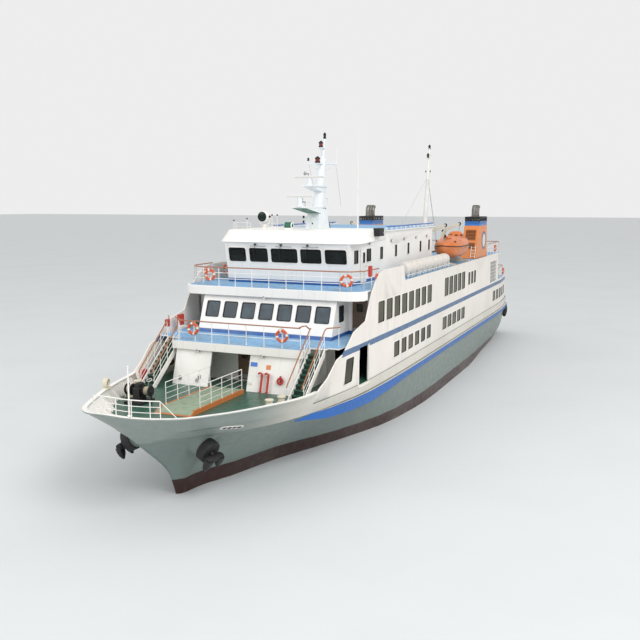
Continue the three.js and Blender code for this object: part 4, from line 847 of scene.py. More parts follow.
def windlass():
    x, y, base = 23.5, -2.9, MAIN_DECK + GAP
    piece = Piece("anchor_windlass")
    piece.block(x, y, 0.6, 0.5, base, base + 0.12, GEAR_BLACK)
    piece.box((x - 0.35, y - 0.2, base + 0.1), (x + 0.3, y + 0.2, base + 0.78), GEAR_BLACK, 0.05)
    piece.box((x - 0.28, y - 0.14, base + 0.7), (x + 0.22, y + 0.14, base + 0.99), GEAR_BLACK, 0.05)
    motor = [(0, 0.15), (0.22, 0.15), (0.24, 0.12), (0.27, 0.05)]
    piece.turned((x - 0.32, y, base + 0.42), (-1, 0, 0), motor, GEAR_BLACK)
    shaft = base + 0.62
    piece.rod((x, y - 0.76, shaft), (x, y + 0.76, shaft), 0.06, STEEL, 12)
    for side in WAYS:
        start = (x, y + side * 0.34, shaft)
        drum = [(0, 0.29), (0.03, 0.3), (0.04, 0.17), (0.18, 0.14), (0.33, 0.17), (0.34, 0.28), (0.37, 0.28),
                (0.38, 0.2)]
        piece.turned(start, (0, side, 0), drum, GEAR_BLACK, 24)
        for k in range(5):
            middle = (x, y + side * (0.4 + k * 0.055), shaft)
            piece.ring(middle, (0, 1, 0), 0.185 + 0.008 * (k % 2), 0.03, ROPE)
        near, far = y + side * 0.7, y + side * 0.76
        piece.box((x - 0.05, near, base), (x + 0.05, far, shaft + 0.08), GEAR_BLACK, 0.02)
    # Chain wheel with its pockets, and the brake's hand wheel
    wheel = [(0, 0.26), (0.02, 0.27), (0.04, 0.2), (0.07, 0.2), (0.09, 0.27), (0.1, 0.26)]
    piece.turned((x, y + 0.24, shaft), (0, 1, 0), wheel, GEAR_BLACK, 12)
    piece.ring((x - 0.45, y + 0.3, base + 1.05), (0.4, 0, 1), 0.13, 0.015, RAIL_WHITE, 20)
    piece.rod((x - 0.45, y + 0.3, base + 1.05), (x - 0.28, y + 0.3, base + 0.6), 0.018, STEEL)
    piece.done("windlass", slot="black_paint")


def bollards():
    x, y, base = 22.3, 4.08, MAIN_DECK + GAP
    for name, side in SIDES:
        piece = Piece(f"mooring_bollards_{name}")
        along = Vector((1, -0.3 * side, 0)).normalized()
        middle = Vector((x, side * y, base))
        turn = placed(along, UP.cross(along), UP, middle)
        piece.box((-0.75, -0.28, 0), (0.75, 0.28, 0.08), CREAM, turn=turn)
        for across in (-0.42, 0.42):
            foot = middle + along * across
            post = [(0.05, 0.19), (0.09, 0.165), (0.55, 0.16), (0.58, 0.205), (0.61, 0.215), (0.65, 0.205),
                    (0.66, 0.16)]
            piece.turned(foot, UP, post, CREAM, 24)
            for k in range(4):
                piece.ring(foot + UP * (0.17 + k * 0.062), (0.02 * (k % 2), 0.03, 1), 0.195, 0.032, ROPE)
        piece.done(f"bollards_{name}", slot="cream_paint")


# Anchors, deck fittings and hull fittings

BOLSTER_FROM, BOLSTER_FACE = Vector((25.15, 1.4, 2.95)), Vector((25.3, 2.32, 2.5))


def anchors():
    for name, side in SIDES:
        face = Vector((BOLSTER_FACE.x, BOLSTER_FACE.y * side, BOLSTER_FACE.z))
        out = (BOLSTER_FACE - BOLSTER_FROM).normalized()
        out.y *= side
        piece = Piece(f"stockless_anchor_{name}")
        # The recess is a black dish inside a rounded rim
        rim = [(-0.4, 0.55), (-0.06, 0.56), (0.0, 0.54), (0.012, 0.5), (0.006, 0.45), (0.004, 0.1)]
        piece.turned(face, out, rim, GEAR_BLACK, 36)
        down = (-UP - out * out.dot(-UP)).normalized()
        across = out.cross(down).normalized()
        crown = face + out * 0.26 + down * 0.1
        turn = placed(across, out, -down, crown)
        piece.rod(face + out * 0.002, crown, 0.1, GEAR_BLACK, 12, 0.12)
        piece.box((-0.52, -0.17, -0.15), (0.52, 0.15, 0.15), GEAR_BLACK, 0.06, turn)
        for k in WAYS:
            fluke = [(0.4, 0.22, 0.0), (0.46, 0.2, -0.18), (0.36, 0.14, -0.4), (0.1, 0.05, -0.6)]
            rings = []
            for wide, thick, drop in fluke:
                middle = Vector((k * (0.36 + 0.12 * -drop), 0.04, drop))
                outline = rounded(wide, thick * 1.4, min(wide, thick) * 0.35, 2)
                rings.append([turn @ (middle + Vector((u, v, 0))) for u, v in outline])
            piece.loft(rings, GEAR_BLACK)
        piece.done(f"anchor_{name}", slot="black_paint")


def ports_and_marks(piece):
    """A freeing port and the draught marks on each bow."""
    skin = surface_of("hull")
    bulwark = surface_of("bow_bulwark")
    for side in WAYS:
        inward = (0, -side, 0)
        found = []
        for x, z in ((24.94, 3.72), (25.5, 3.81), (24.38, 3.63), (24.94, 3.86)):
            spot = (x, side * OUTBOARD, z)
            found.append(met(skin, spot, inward) or met(bulwark, spot, inward))
        middle, ahead, aft, over = found
        # Freeing port: a pale oval plate with four dark slots, painted shade for its openings
        wall = Wall(middle, (aft - ahead) * side, over - middle)
        piece.plate(wall, 0, 0, rounded(1.32, 0.3, 0.145), -0.08, 0.035, RAIL_WHITE)
        for k, width in enumerate((0.2, 0.24, 0.2, 0.24)):
            slot = rounded(width, 0.18, 0.07, 3)
            piece.plate(wall, (k - 1.5) * 0.28, 0.0, slot, 0.0, 0.04, GEAR_BLACK, ease=0.002)
        # Draught marks: short dashes up the stem
        for k in range(7):
            z = 0.12 + k * 0.2
            near = met(skin, (26.5 - k * 0.02, side * OUTBOARD, z), inward)
            if near:
                back = met(skin, (26.3 - k * 0.02, side * OUTBOARD, z), inward)
                wall = Wall(near, (back - near) * side)
                piece.plate(wall, 0, 0, rounded(0.1, 0.04, 0.01, 1), -0.01, 0.005, MARK_WHITE, ease=0.002)


def chock(piece):
    """The closed chock on the starboard cap: a cream ring, with a black disc as painted shade in its throat.
    """
    middle, axis = Vector((24.1, -4.42, 4.86)), Vector((0.3, -1, 0)).normalized()
    throat = [(-0.13, 0.19), (-0.1, 0.25), (-0.03, 0.275), (0.03, 0.275), (0.1, 0.25), (0.13, 0.19),
              (0.06, 0.15), (-0.06, 0.15)]
    first, second = spin_frame(axis)
    rings = []
    for u, v in circle(1, 28):
        out = first * u + second * v
        rings.append([middle + axis * along + out * radius for along, radius in throat])
    piece.loft(rings, CREAM, closed=True)
    # Painted shade: a black disc fills the hole of the throat
    piece.turned(middle, axis, [(-0.02, 0.15), (0.02, 0.15)], GEAR_BLACK, 24)
    piece.box(middle + Vector((-0.28, -0.11, -0.36)), middle + Vector((0.28, 0.11, -0.2)), CREAM, 0.03)


def stern_fenders(piece):
    """Half-round black rubber on the quarters."""
    for side in WAYS:
        rings = []
        for k in range(9):
            z = 1.7 + k * 0.19
            bulge = 0.3 * math.sin(math.pi * min(max((k + 0.6) / 9.2, 0), 1)) ** 0.6
            around = circle(max(bulge, 0.05), 14)
            rings.append([(-29.35 + u, side * (5.42 + v), z) for u, v in around])
        piece.loft(rings, BLACK_RUBBER)


def hull_fittings():
    piece = Piece("hull_fittings")
    ports_and_marks(piece)
    chock(piece)
    stern_fenders(piece)
    piece.done(slot="black_paint")


def deck_fittings():
    piece = Piece("foredeck_fittings")
    wall = MAIN_WALL
    lean = wall.out
    # Two fire hydrants with their valves, a hose ring and blank plates on the port side of the front
    for y in (1.78, 2.16):
        foot = wall.at(y, 0.02, 0.16)
        head = wall.at(y, 0.98, 0.16)
        elbow, mouth = head + Vector((0, -0.12, 0.04)), head + Vector((0, -0.22, 0.0))
        piece.pipe([foot, head, elbow, mouth], 0.06, SIGNAL_RED, 10)
        piece.turned(head - UP * 0.12, (1, 0, 0), [(0, 0.05), (0.06, 0.05), (0.08, 0.03)], SIGNAL_RED, 12)
        piece.ring(head + lean * 0.1 - UP * 0.12, lean, 0.07, 0.012, SIGNAL_RED, 14)
        piece.turned(foot, UP, [(0, 0.09), (0.03, 0.09), (0.05, 0.06)], SIGNAL_RED, 12)
    piece.ring(wall.at(2.82, 0.69, 0.1), lean, 0.15, 0.05, SIGNAL_RED)
    spot = Matrix.Translation(wall.at(2.82, 0.78, 0.03))
    piece.box((-0.03, -0.03, -0.2), (0.1, 0.03, 0.2), SIGNAL_RED, 0.01, spot)
    piece.plate(wall, 1.15, 1.45, rounded(0.4, 0.22, 0.02, 2), -0.01, 0.02, SIGN_BLUE)
    piece.plate(wall, 2.02, 1.36, rounded(0.26, 0.24, 0.02, 2), -0.01, 0.02, SIGN_ORANGE)
    piece.plate(wall, 1.02, 0.42, rounded(0.3, 0.16, 0.02, 2), -0.01, 0.012, MARK_WHITE)
    for y, high in ((-3.28, 0.36), (-2.08, 0.5), (-2.2, 0.3)):
        piece.plate(wall, y, high, rounded(0.16, 0.22, 0.03, 2), -0.01, 0.06, STEEL)
        piece.ring(wall.at(y, high - 0.02, 0.07), lean, 0.05, 0.012, GEAR_BLACK, 14)
    # Fire box on the starboard shell by the stair, and two lockers at the stair head
    skin = surface_of("side_shell_starboard")
    back, front = (met(skin, (x, 0, 4.05), (0, -1, 0)) for x in (19.9, 20.2))
    along = (front - back).normalized()
    turn = placed(along, UP.cross(along), UP, back)
    piece.box((0, 0.005, 0.03), (0.42, 0.17, 0.66), SIGNAL_RED, 0.02, turn)
    piece.box((0.04, 0.16, 0.08), (0.38, 0.185, 0.61), SIGNAL_RED, 0.005, turn)
    for x, width, low, high in ((17.5, 0.26, 6.72, 7.14), (16.05, 0.46, 6.62, 7.26)):
        piece.box((x, -5.3, low), (x + width, -5.1, high), SIGNAL_RED, 0.02)
        piece.box((x + 0.04, -5.1, low + 0.04), (x + width - 0.04, -5.085, high - 0.04), SIGNAL_RED, 0.005)
        piece.rod((x + width / 2, -5.2, DECK_2), (x + width / 2, -5.2, low + 0.02), 0.03, RAIL_WHITE)
    # Fire box on the rail of the bridge deck
    piece.box((13.3, 5.52, 9.62), (13.62, 5.68, 10.24), SIGNAL_RED, 0.03)
    piece.done()


def lamp(piece, spot, aim=-UP):
    """A caged bulkhead lamp on a short stem."""
    aim = Vector(aim).normalized()
    spot = Vector(spot)
    piece.turned(spot, aim, [(0, 0.09), (0.03, 0.1), (0.07, 0.1), (0.08, 0.07)], STEEL, 14)
    glass = [(0, 0.075), (0.06, 0.07), (0.1, 0.04), (0.11, 0.01)]
    piece.turned(spot + aim * 0.075, aim, glass, MARK_WHITE, 14)
    turns = [math.pi * t / 6 for t in range(7)]
    for across in spin_frame(aim):
        line = [spot + aim * (0.07 + 0.06 * math.sin(t)) + across * 0.09 * math.cos(t) for t in turns]
        piece.pipe(line, 0.007, STEEL, 5)


def lamps():
    piece = Piece("deck_lamps")
    for y in (-2.33, 1.61):
        lamp(piece, (18.95, y, 5.82), (0.4, 0, -1))
    lamp(piece, (15.25, -0.17, 8.44), (0.4, 0, -1))
    for side in WAYS:
        for x in (9.6, 5.4, 2.6, -0.2, -3.0):
            lamp(piece, (x, side * 4.1, 11.3), (0, side, -0.6))
    # Loudspeaker in a black case under the roof edge, on the port side
    piece.box((7.95, 4.12, 11.68), (8.95, 4.5, 12.18), GEAR_BLACK, 0.03)
    piece.box((8.02, 4.5, 11.74), (8.88, 4.52, 12.12), GEAR_BLACK, 0.01)
    piece.turned((8.2, 4.52, 11.9), (0, 1, 0), [(0, 0.06), (0.02, 0.055), (0.025, 0.01)], STEEL, 14)
    piece.done()


# Lifeboats and rafts

# Lifeboat. Columns: x from the middle, half-beam, keel z, gunwale z, roof z
BOAT = (
    (-3.15, 0.08, 10.18, 10.44, 10.56),
    (-3, 0.32, 9.93, 10.41, 10.72),
    (-2.7, 0.62, 9.72, 10.38, 10.88),
    (-2.2, 0.86, 9.52, 10.35, 11.01),
    (-1.6, 1, 9.4, 10.33, 11.08),
    (-0.8, 1.07, 9.34, 10.33, 11.12),
    (0, 1.09, 9.33, 10.33, 11.12),
    (0.8, 1.07, 9.34, 10.33, 11.08),
    (1.6, 1, 9.4, 10.33, 10.98),
    (2.2, 0.86, 9.5, 10.35, 10.87),
    (2.7, 0.62, 9.68, 10.38, 10.75),
    (3, 0.32, 9.88, 10.41, 10.64),
    (3.15, 0.08, 10.13, 10.44, 10.55),
)
BOAT_X, BOAT_Y = -8.05, 4.85
DAVIT_X = (-5.75, -10.35)


def boat_ring(dx, half, keel, gunwale, roof, y):
    points = []
    for k in range(28):
        turn = math.tau * k / 28
        across, up = math.cos(turn), math.sin(turn)
        reach = roof - gunwale if up > 0 else gunwale - keel
        power = 0.75 if up > 0 else 0.9
        points.append((BOAT_X + dx, y + half * math.copysign(abs(across) ** 0.8, across),
                       gunwale + reach * math.copysign(abs(up) ** power, up)))
    return points


def lifeboats():
    for name, side in SIDES:
        y = side * BOAT_Y
        piece = Piece(f"enclosed_lifeboat_{name}", f"boat_{name}")
        piece.loft([boat_ring(*row, y) for row in BOAT], BOAT_ORANGE)
        # Rubbing strake at the joint of hull and canopy
        gunwale = [(BOAT_X + dx, y + half + 0.015, level) for dx, half, _, level, _ in BOAT]
        inner = [(BOAT_X + dx, y - half - 0.015, level) for dx, half, _, level, _ in BOAT]
        piece.pipe([*gunwale, *reversed(inner)], 0.035, GEAR_BLACK, 8, closed=True)
        # Steering dome with its windows and hatches
        dome = Vector((BOAT_X - 1.1, y, 10.98))
        rings = []
        for level, size in ((0, 1.0), (0.2, 0.97), (0.34, 0.86), (0.44, 0.6), (0.47, 0.3), (0.48, 0.02)):
            rings.append([dome + Vector((u * 1.25 * size, v * size, level)) for u, v in circle(0.6, 28)])
        piece.loft(rings, BOAT_ORANGE)
        for turn in range(8):
            angle = math.tau * (turn + 0.5) / 8
            out = Vector((math.cos(angle) * 1.25, math.sin(angle), 0))
            along = Vector((-math.sin(angle) * 1.25, math.cos(angle), 0))
            wall = Wall(dome + out * 0.595 + UP * 0.16, along)
            piece.plate(wall, 0, 0, rounded(0.24, 0.13, 0.04, 2), -0.03, 0.012, SIDE_PANE)
        for dx in (1.5, 0.35):
            hatch = Vector((BOAT_X + dx, y, 10.96))
            coaming = [(0, 0.34), (0.12, 0.33), (0.16, 0.3), (0.19, 0.2), (0.2, 0.02)]
            piece.turned(hatch, UP, coaming, BOAT_ORANGE, 24)
        for way in WAYS:
            for dx in (-0.2, 0.9, 2.0):
                reach = 0.93 if dx < 1.5 else 0.78
                wall = Wall((BOAT_X + dx, y + way * reach, 10.74), (-way, 0, 0), (0, -0.55 * way, 1))
                piece.plate(wall, 0, 0, rounded(0.34, 0.16, 0.07, 3), -0.05, 0.012, SIDE_PANE)
            # Grab line in bights below the strake, led through the rows of the table
            line = []
            for k in range(41):
                t = k / 40 * 10.99 + 0.5
                row, rest = int(t), t - int(t)
                before, after = BOAT[row], BOAT[row + 1]
                dx, half, _, level, _ = [a + (b - a) * rest for a, b in zip(before, after)]
                drop = 0.09 + 0.13 * abs(math.sin(math.pi * k / 5))
                line.append((BOAT_X + dx, y + way * (half + 0.02), level - drop))
            piece.pipe(line, 0.014, ROPE, 6)
        for x in DAVIT_X:
            piece.block(x, y, 0.07, 0.05, 10.58, 11.03, STEEL, 0.02)
            piece.turned((x, y, 10.5), UP, [(0, 0.2), (0.08, 0.19), (0.12, 0.12), (0.2, 0.1)], BOAT_ORANGE)
        piece.box((BOAT_X - 2.4, y - 0.05, 9.38), (BOAT_X + 2.2, y + 0.05, 9.54), BOAT_ORANGE, 0.02)
        piece.done(f"lifeboat_{name}", slot="orange_plastic")


def track_top(y):
    return 9.5 - (y - 3.2) * 0.5 / 2.55


def davits():
    for name, side in SIDES:
        piece = Piece(f"davit_cradle_arms_{name}", f"boat_{name}")
        lift, mid_y, mid_z = SEAT, 3.9, 10.7
        shape = [(3.25, track_top(3.25) + lift), (4.5, track_top(4.5) + lift), (4.5, track_top(4.5) + 0.14),
                 (3.6, track_top(3.6) + 0.22), (3.55, 11.0), (3.75, 11.45), (4.9, 11.98), (4.85, 12.1),
                 (3.6, 11.62), (3.3, 11.1)]
        for x in DAVIT_X:
            rings = []
            for dx, cut in ((-0.1, 0.985), (-0.085, 1), (0.085, 1), (0.1, 0.985)):
                rings.append([(x + dx, side * (mid_y + (y - mid_y) * cut), mid_z + (z - mid_z) * cut)
                              for y, z in shape])
            piece.loft(rings, CREAM)
            pulley = [(0, 0.13), (0.03, 0.14), (0.04, 0.11), (0.06, 0.11), (0.07, 0.14), (0.1, 0.13)]
            for y, z in ((4.85, 12.02), (3.48, 11.4)):
                piece.turned((x - 0.05, side * y, z), (1, 0, 0), pulley, GEAR_BLACK, 16)
            piece.rod((x, side * BOAT_Y, 12.0), (x, side * BOAT_Y, 11.04), 0.018, STEEL)
            y = side * BOAT_Y
            piece.block(x, y, 0.06, 0.07, 11.04, 11.28, GEAR_BLACK, 0.03)
            piece.rod((x, side * 4.8, 12.06), (x, side * 3.5, 11.52), 0.014, STEEL)
        piece.box((DAVIT_X[1], side * 3.32, 9.75), (DAVIT_X[0], side * 3.5, 9.9), CREAM)
        piece.done(f"davit_arms_{name}", slot="cream_paint")
        fixed = Piece(f"davit_trackways_{name}")
        foot = DECK_3 + GAP
        for x in DAVIT_X:
            for dx in (-0.12, 0.06):
                shape = [(3.2, foot), (5.75, foot), (5.75, track_top(5.75)), (3.2, track_top(3.2))]
                fixed.loft([[(x + dx + w, side * y, z) for y, z in shape] for w in (0, 0.06)], CREAM)
            web = [(3.26, foot), (5.69, foot), (5.69, track_top(5.69) - 0.06), (3.26, track_top(3.26) - 0.06)]
            fixed.loft([[(x + w, side * y, z) for y, z in web] for w in (-0.05, 0.05)], GEAR_BLACK)
        fixed.rod((DAVIT_X[1], side * 3.3, foot + 0.15), (DAVIT_X[0], side * 3.3, foot + 0.15), 0.05, CREAM)
        # Winch between the trackways
        fixed.box((-8.5, side * 3.35, foot), (-7.6, side * 3.95, foot + 0.08), CREAM)
        winch = [(0, 0.24), (0.04, 0.25), (0.05, 0.15), (0.35, 0.15), (0.36, 0.25), (0.4, 0.25), (0.41, 0.2),
                 (0.7, 0.18), (0.72, 0.1)]
        fixed.turned((-8.4, side * 3.65, foot + 0.33), (1, 0, 0), winch, CREAM)
        for k in range(6):
            fixed.ring((-8.32 + k * 0.05, side * 3.65, foot + 0.33), (1, 0, 0), 0.165, 0.016, STEEL, 20, 6)
        fixed.done(f"davit_track_{name}")


RAFT_Y, RAFT_Z, RAFT_FIRST, RAFT_PITCH, RAFTS = 5.25, 9.52, -3.73, 1.35, 8


def liferafts():
    foot = DECK_3 + GAP
    for name, side in SIDES:
        piece = Piece(f"raft_canisters_{name}")
        y = side * RAFT_Y
        shell = [(0, 0.1), (0.015, 0.26), (0.05, 0.35), (0.11, 0.39), (0.2, 0.4), (0.58, 0.402),
                 (0.59, 0.412), (0.65, 0.412), (0.66, 0.402), (1.04, 0.4), (1.13, 0.39), (1.19, 0.35),
                 (1.225, 0.26), (1.24, 0.1)]
        for k in range(RAFTS):
            x = RAFT_FIRST + k * RAFT_PITCH
            piece.turned((x - 0.62, y, RAFT_Z), (1, 0, 0), shell, RAFT_WHITE, 28)
            for dx in (-0.38, 0.34):
                strap = [(0, 0.4), (0.002, 0.406), (0.028, 0.406), (0.03, 0.4)]
                piece.turned((x + dx, y, RAFT_Z), (1, 0, 0), strap, RAIL_WHITE, 28)
            for dx in (-0.42, 0.42):
                turns = [math.radians(-62 + 12.4 * i) for i in range(11)]
                line = [(x + dx, y + 0.43 * math.sin(t), RAFT_Z - 0.43 * math.cos(t)) for t in turns]
                piece.pipe(line, 0.028, RAIL_WHITE)
                for way in WAYS:
                    leg = ((x + dx, y + way * 0.38, RAFT_Z - 0.2), (x + dx, y + way * 0.3, foot))
                    piece.rod(*leg, 0.026, RAIL_WHITE)
        start, end = RAFT_FIRST - 0.7, RAFT_FIRST + (RAFTS - 1) * RAFT_PITCH + 0.7
        for way in WAYS:
            for wide, level, radius in ((0.33, RAFT_Z - 0.42, 0.03), (0.3, foot + 0.1, 0.02)):
                piece.rod((start, y + way * wide, level), (end, y + way * wide, level), radius, RAIL_WHITE)
        piece.done(f"liferafts_{name}")


# Funnels

FUNNEL_FORE, FUNNEL_AFT, FUNNEL_INNER, FUNNEL_OUTER = -14.4, -17.5, 4.36, 5.68


def funnel_tops():
    low, high = TOP_DECK + GAP, 12.55
    for name, side in SIDES:
        piece = Piece(f"funnel_rim_and_pipes_{name}")
        inner, outer = sorted((side * FUNNEL_INNER, side * FUNNEL_OUTER))
        walls = (((FUNNEL_AFT, inner), (FUNNEL_FORE, inner + 0.05)),
                 ((FUNNEL_AFT, outer - 0.05), (FUNNEL_FORE, outer)),
                 ((FUNNEL_AFT, inner), (FUNNEL_AFT + 0.05, outer)),
                 ((FUNNEL_FORE - 0.05, inner), (FUNNEL_FORE, outer)))
        base = low + 0.15
        for z0, z1, paint in ((low, base, FUNNEL_PAINT), (base + GAP, low + 0.2, GEAR_BLACK),
                              (low + 0.38, high, GEAR_BLACK)):
            for start, end in walls:
                piece.box((*start, z0), (*end, z1), paint)
        # Bars of the open grille round the top
        bars = [(FUNNEL_AFT + 0.025 + k * (FUNNEL_FORE - FUNNEL_AFT - 0.05) / 11, y, 0.05, 0.02)
                for k in range(12) for y in (inner + 0.025, outer - 0.025)]
        bars += [(x, inner + 0.02 + k * (outer - inner - 0.04) / 5, 0.02, 0.05)
                 for k in range(1, 5) for x in (FUNNEL_AFT + 0.025, FUNNEL_FORE - 0.025)]
        for x, y, dx, dy in bars:
            piece.block(x, y, dx, dy, base, high - 0.1, GEAR_BLACK, 0.004)
        lid = (FUNNEL_FORE - 0.04, outer - 0.04, low + 0.06)
        piece.box((FUNNEL_AFT + 0.04, inner + 0.04, low), lid, GEAR_BLACK)
        for dx in (0.5, 1.15, 1.9):
            x, y = FUNNEL_FORE - dx, side * 5.02
            line = [(x, y, low + 0.05), (x, y, 13.0), (x - 0.03, y, 13.17), (x - 0.11, y, 13.31),
                    (x - 0.24, y, 13.4)]
            piece.pipe(line, 0.19, EXHAUST, 16)
            end, aim = Vector(line[-1]), Vector((-0.8, 0, 0.5)).normalized()
            lip = [(0, 0.19), (0.01, 0.205), (0.05, 0.205), (0.052, 0.17), (0.03, 0.16)]
            piece.turned(end - aim * 0.02, aim, lip, EXHAUST, 16)
            collar = [(0, 0.192), (0.01, 0.215), (0.05, 0.215), (0.06, 0.192)]
            piece.turned((x, y, 12.6), UP, collar, EXHAUST, 16)
        piece.done(f"funnel_top_{name}", slot="black_paint")


def funnel_fronts():
    piece = Piece("funnel_louvres")
    for _, side in SIDES:
        wall = Wall((-13.2, side * 5.01, DECK_3), (0, 1, 0), (-1.2, 0, 3.1))
        for low, count in ((0.95, 4), (1.75, 7)):
            height = count * 0.13
            recess = rounded(0.9, height + 0.02, 0.02, 2)
            rim = rounded(0.98, height + 0.1, 0.03, 2)
            piece.border(wall, 0, low + height / 2, rim, recess, -0.02, 0.03, FUNNEL_PAINT)
            # Painted shade: a dark sheet behind the slats, where shade falls between them
            piece.plate(wall, 0, low + height / 2, recess, -0.02, 0.004, LOUVRE_PAINTED_SHADE, ease=0.001)
            for k in range(count):
                v = low + 0.065 + k * 0.13
                turn = placed(wall.right, wall.out, wall.up, wall.at(0, v, 0.03))
                slat = turn @ Matrix.Rotation(math.radians(-38), 4, "X")
                piece.box((-0.44, -0.035, -0.006), (0.44, 0.035, 0.006), FUNNEL_PAINT, 0.003, slat)
        # Access ladder at the outer corner
        for u in (0.2, 0.58):
            piece.rod(wall.at(u, 0.05, 0.1), wall.at(u, 1.15, 0.1), 0.022, RAIL_WHITE)
        for k in range(4):
            v = 0.2 + k * 0.27
            piece.rod(wall.at(0.2, v, 0.1), wall.at(0.58, v, 0.1), 0.016, RAIL_WHITE)
        # Bare round plate on the outer side
        badge = Wall((-16.25, side * 5.69, 10.42), (-side, 0, 0))
        piece.border(badge, 0, 0, circle(0.82, 40), circle(0.6, 40), -0.03, 0.03, STRIPE_PAINT)
        piece.plate(badge, 0, 0, circle(0.61, 40), -0.03, 0.022, MARK_WHITE)
        door = Wall((-15.6, side * 4.33, 10.0), (side, 0, 0))
        leaf = rounded(0.68, 1.68, 0.09)
        piece.border(door, 0, 0, rounded(0.78, 1.78, 0.12), leaf, -0.03, 0.02, FUNNEL_PAINT)
        piece.plate(door, 0, 0, leaf, -0.04, 0.012, FUNNEL_PAINT)
    piece.done(slot="orange_paint")


# Masts, scanners and gear on the wheelhouse roof

def signal_lamp(piece, foot, glass, height=0.34, radius=0.12):
    """A navigation lamp: a base, a lens drum and a black cap."""
    profile = [(0, radius * 0.9), (height * 0.2, radius), (height * 0.24, radius * 0.8)]
    piece.turned(foot, UP, profile, GEAR_BLACK, 16)
    lens = Vector(foot) + UP * (height * 0.22)
    piece.turned(lens, UP, [(0, radius * 0.82), (height * 0.4, radius * 0.82)], glass, 16)
    cap = [(0, radius), (height * 0.12, radius), (height * 0.4, radius * 0.25)]
    piece.turned(Vector(foot) + UP * (height * 0.6), UP, cap, GEAR_BLACK, 16)


def mast_tower(piece):
    """A square tower that narrows, with its platform, the raked column and the stands of the scanners."""
    foot = ROOF_TOP + GAP
    tower = []
    for z, fore, aft, half in ((foot, 8.95, 7.3, 0.52), (13.35, 8.75, 7.5, 0.42)):
        tower.append([((fore + aft) / 2 + u, v, z) for u, v in rounded(fore - aft, half * 2, 0.06)])
    piece.loft(tower, MAST_WHITE)
    # Platform with a green underside that slopes down to the tower
    for half, finish, shape in (
            (0.52, MAST_WHITE, [(7.38, 13.43), (10.92, 13.43), (10.92, 13.5), (7.38, 13.5)]),
            (0.48, MAST_WHITE, [(8.4, 13.43), (8.6, 13.06), (10.88, 13.4), (10.88, 13.43)]),
            (0.47, LAMP_GREEN, [(8.62, 13.05), (10.88, 13.385), (10.88, 13.4), (8.62, 13.07)])):
        piece.slab(shape, -half, half, finish)
    # Raked column and the pole above it
    start, end = Vector((8.15, 0, 13.2)), Vector((7.25, 0, 16.6))
    run = end - start
    column = [(0, 0.4), (0.3, 0.36), (run.length * 0.5, 0.27), (run.length - 0.02, 0.2), (run.length, 0.16)]
    piece.turned(start, run, column, MAST_WHITE, 24)
    pole = Vector((6.95, 0, 17.9)) - Vector((7.28, 0, 16.5))
    profile = [(0, 0.13), (0.1, 0.1), (pole.length * 0.6, 0.08), (pole.length, 0.06)]
    piece.turned((7.28, 0, 16.5), pole, profile, MAST_WHITE, 14)
    # Shelf of the upper scanner on a deep gusset
    shelf = [(7.25, 14.76), (9.72, 14.76), (9.72, 14.84), (7.25, 14.84)]
    piece.slab(shelf, -0.4, 0.4, MAST_WHITE)
    gusset = [(7.3, 14.77), (7.3, 14.4), (7.9, 14.42), (9.6, 14.72), (9.65, 14.77)]
    piece.slab(gusset, -0.3, 0.3, MAST_WHITE)
    for x, low, high, radius in ((10.8, 13.5, 14.0, 0.17), (9.35, 14.84, 15.2, 0.14)):
        stand = [(0, radius * 1.4), (0.03, radius * 1.4), (0.07, radius), (high - low, radius * 0.9)]
        piece.turned((x, 0, low), UP, stand, MAST_WHITE, 20)


def mast_yard(piece):
    """The yard with struts, its end posts, a halyard each side and the lamps ahead of the column."""
    piece.pipe([(7.34, 1.05 * t, 16.2 + 0.03 * abs(t)) for t in (-1, -0.5, 0, 0.5, 1)], 0.045, MAST_WHITE)
    for side in WAYS:
        strut = [(7.42, side * 0.1, 15.8), (7.38, side * 0.45, 15.95), (7.35, side * 0.85, 16.17)]
        piece.pipe(strut, 0.03, MAST_WHITE)
        high = 17.0 + 0.2 * (side > 0)
        piece.rod((7.34, side, 15.95), (7.34, side, high), 0.022, MAST_WHITE, 8, 0.012)
        piece.rod((7.34, side * 0.95, 16.2), (6.9, 1.15 if side > 0 else -0.5, 13.5), 0.008, STEEL, 5)
    signal_lamp(piece, (7.34, -1.0, 16.45), GEAR_BLACK, 0.2, 0.08)
    for level, x, radius in ((16.26, 8.1, 0.18), (17.27, 7.57, 0.15)):
        piece.box((7.2, -0.16, level - 0.05), (x + radius, 0.16, level), MAST_WHITE, 0.015)
        piece.rod((x + 0.1, 0, level - 0.04), (7.35, 0, level - 0.45), 0.04, MAST_WHITE)
        signal_lamp(piece, (x, 0, level), LAMP_RED, 0.42, radius)
    signal_lamp(piece, (6.95, 0, 17.86), GEAR_BLACK, 0.4, 0.1)


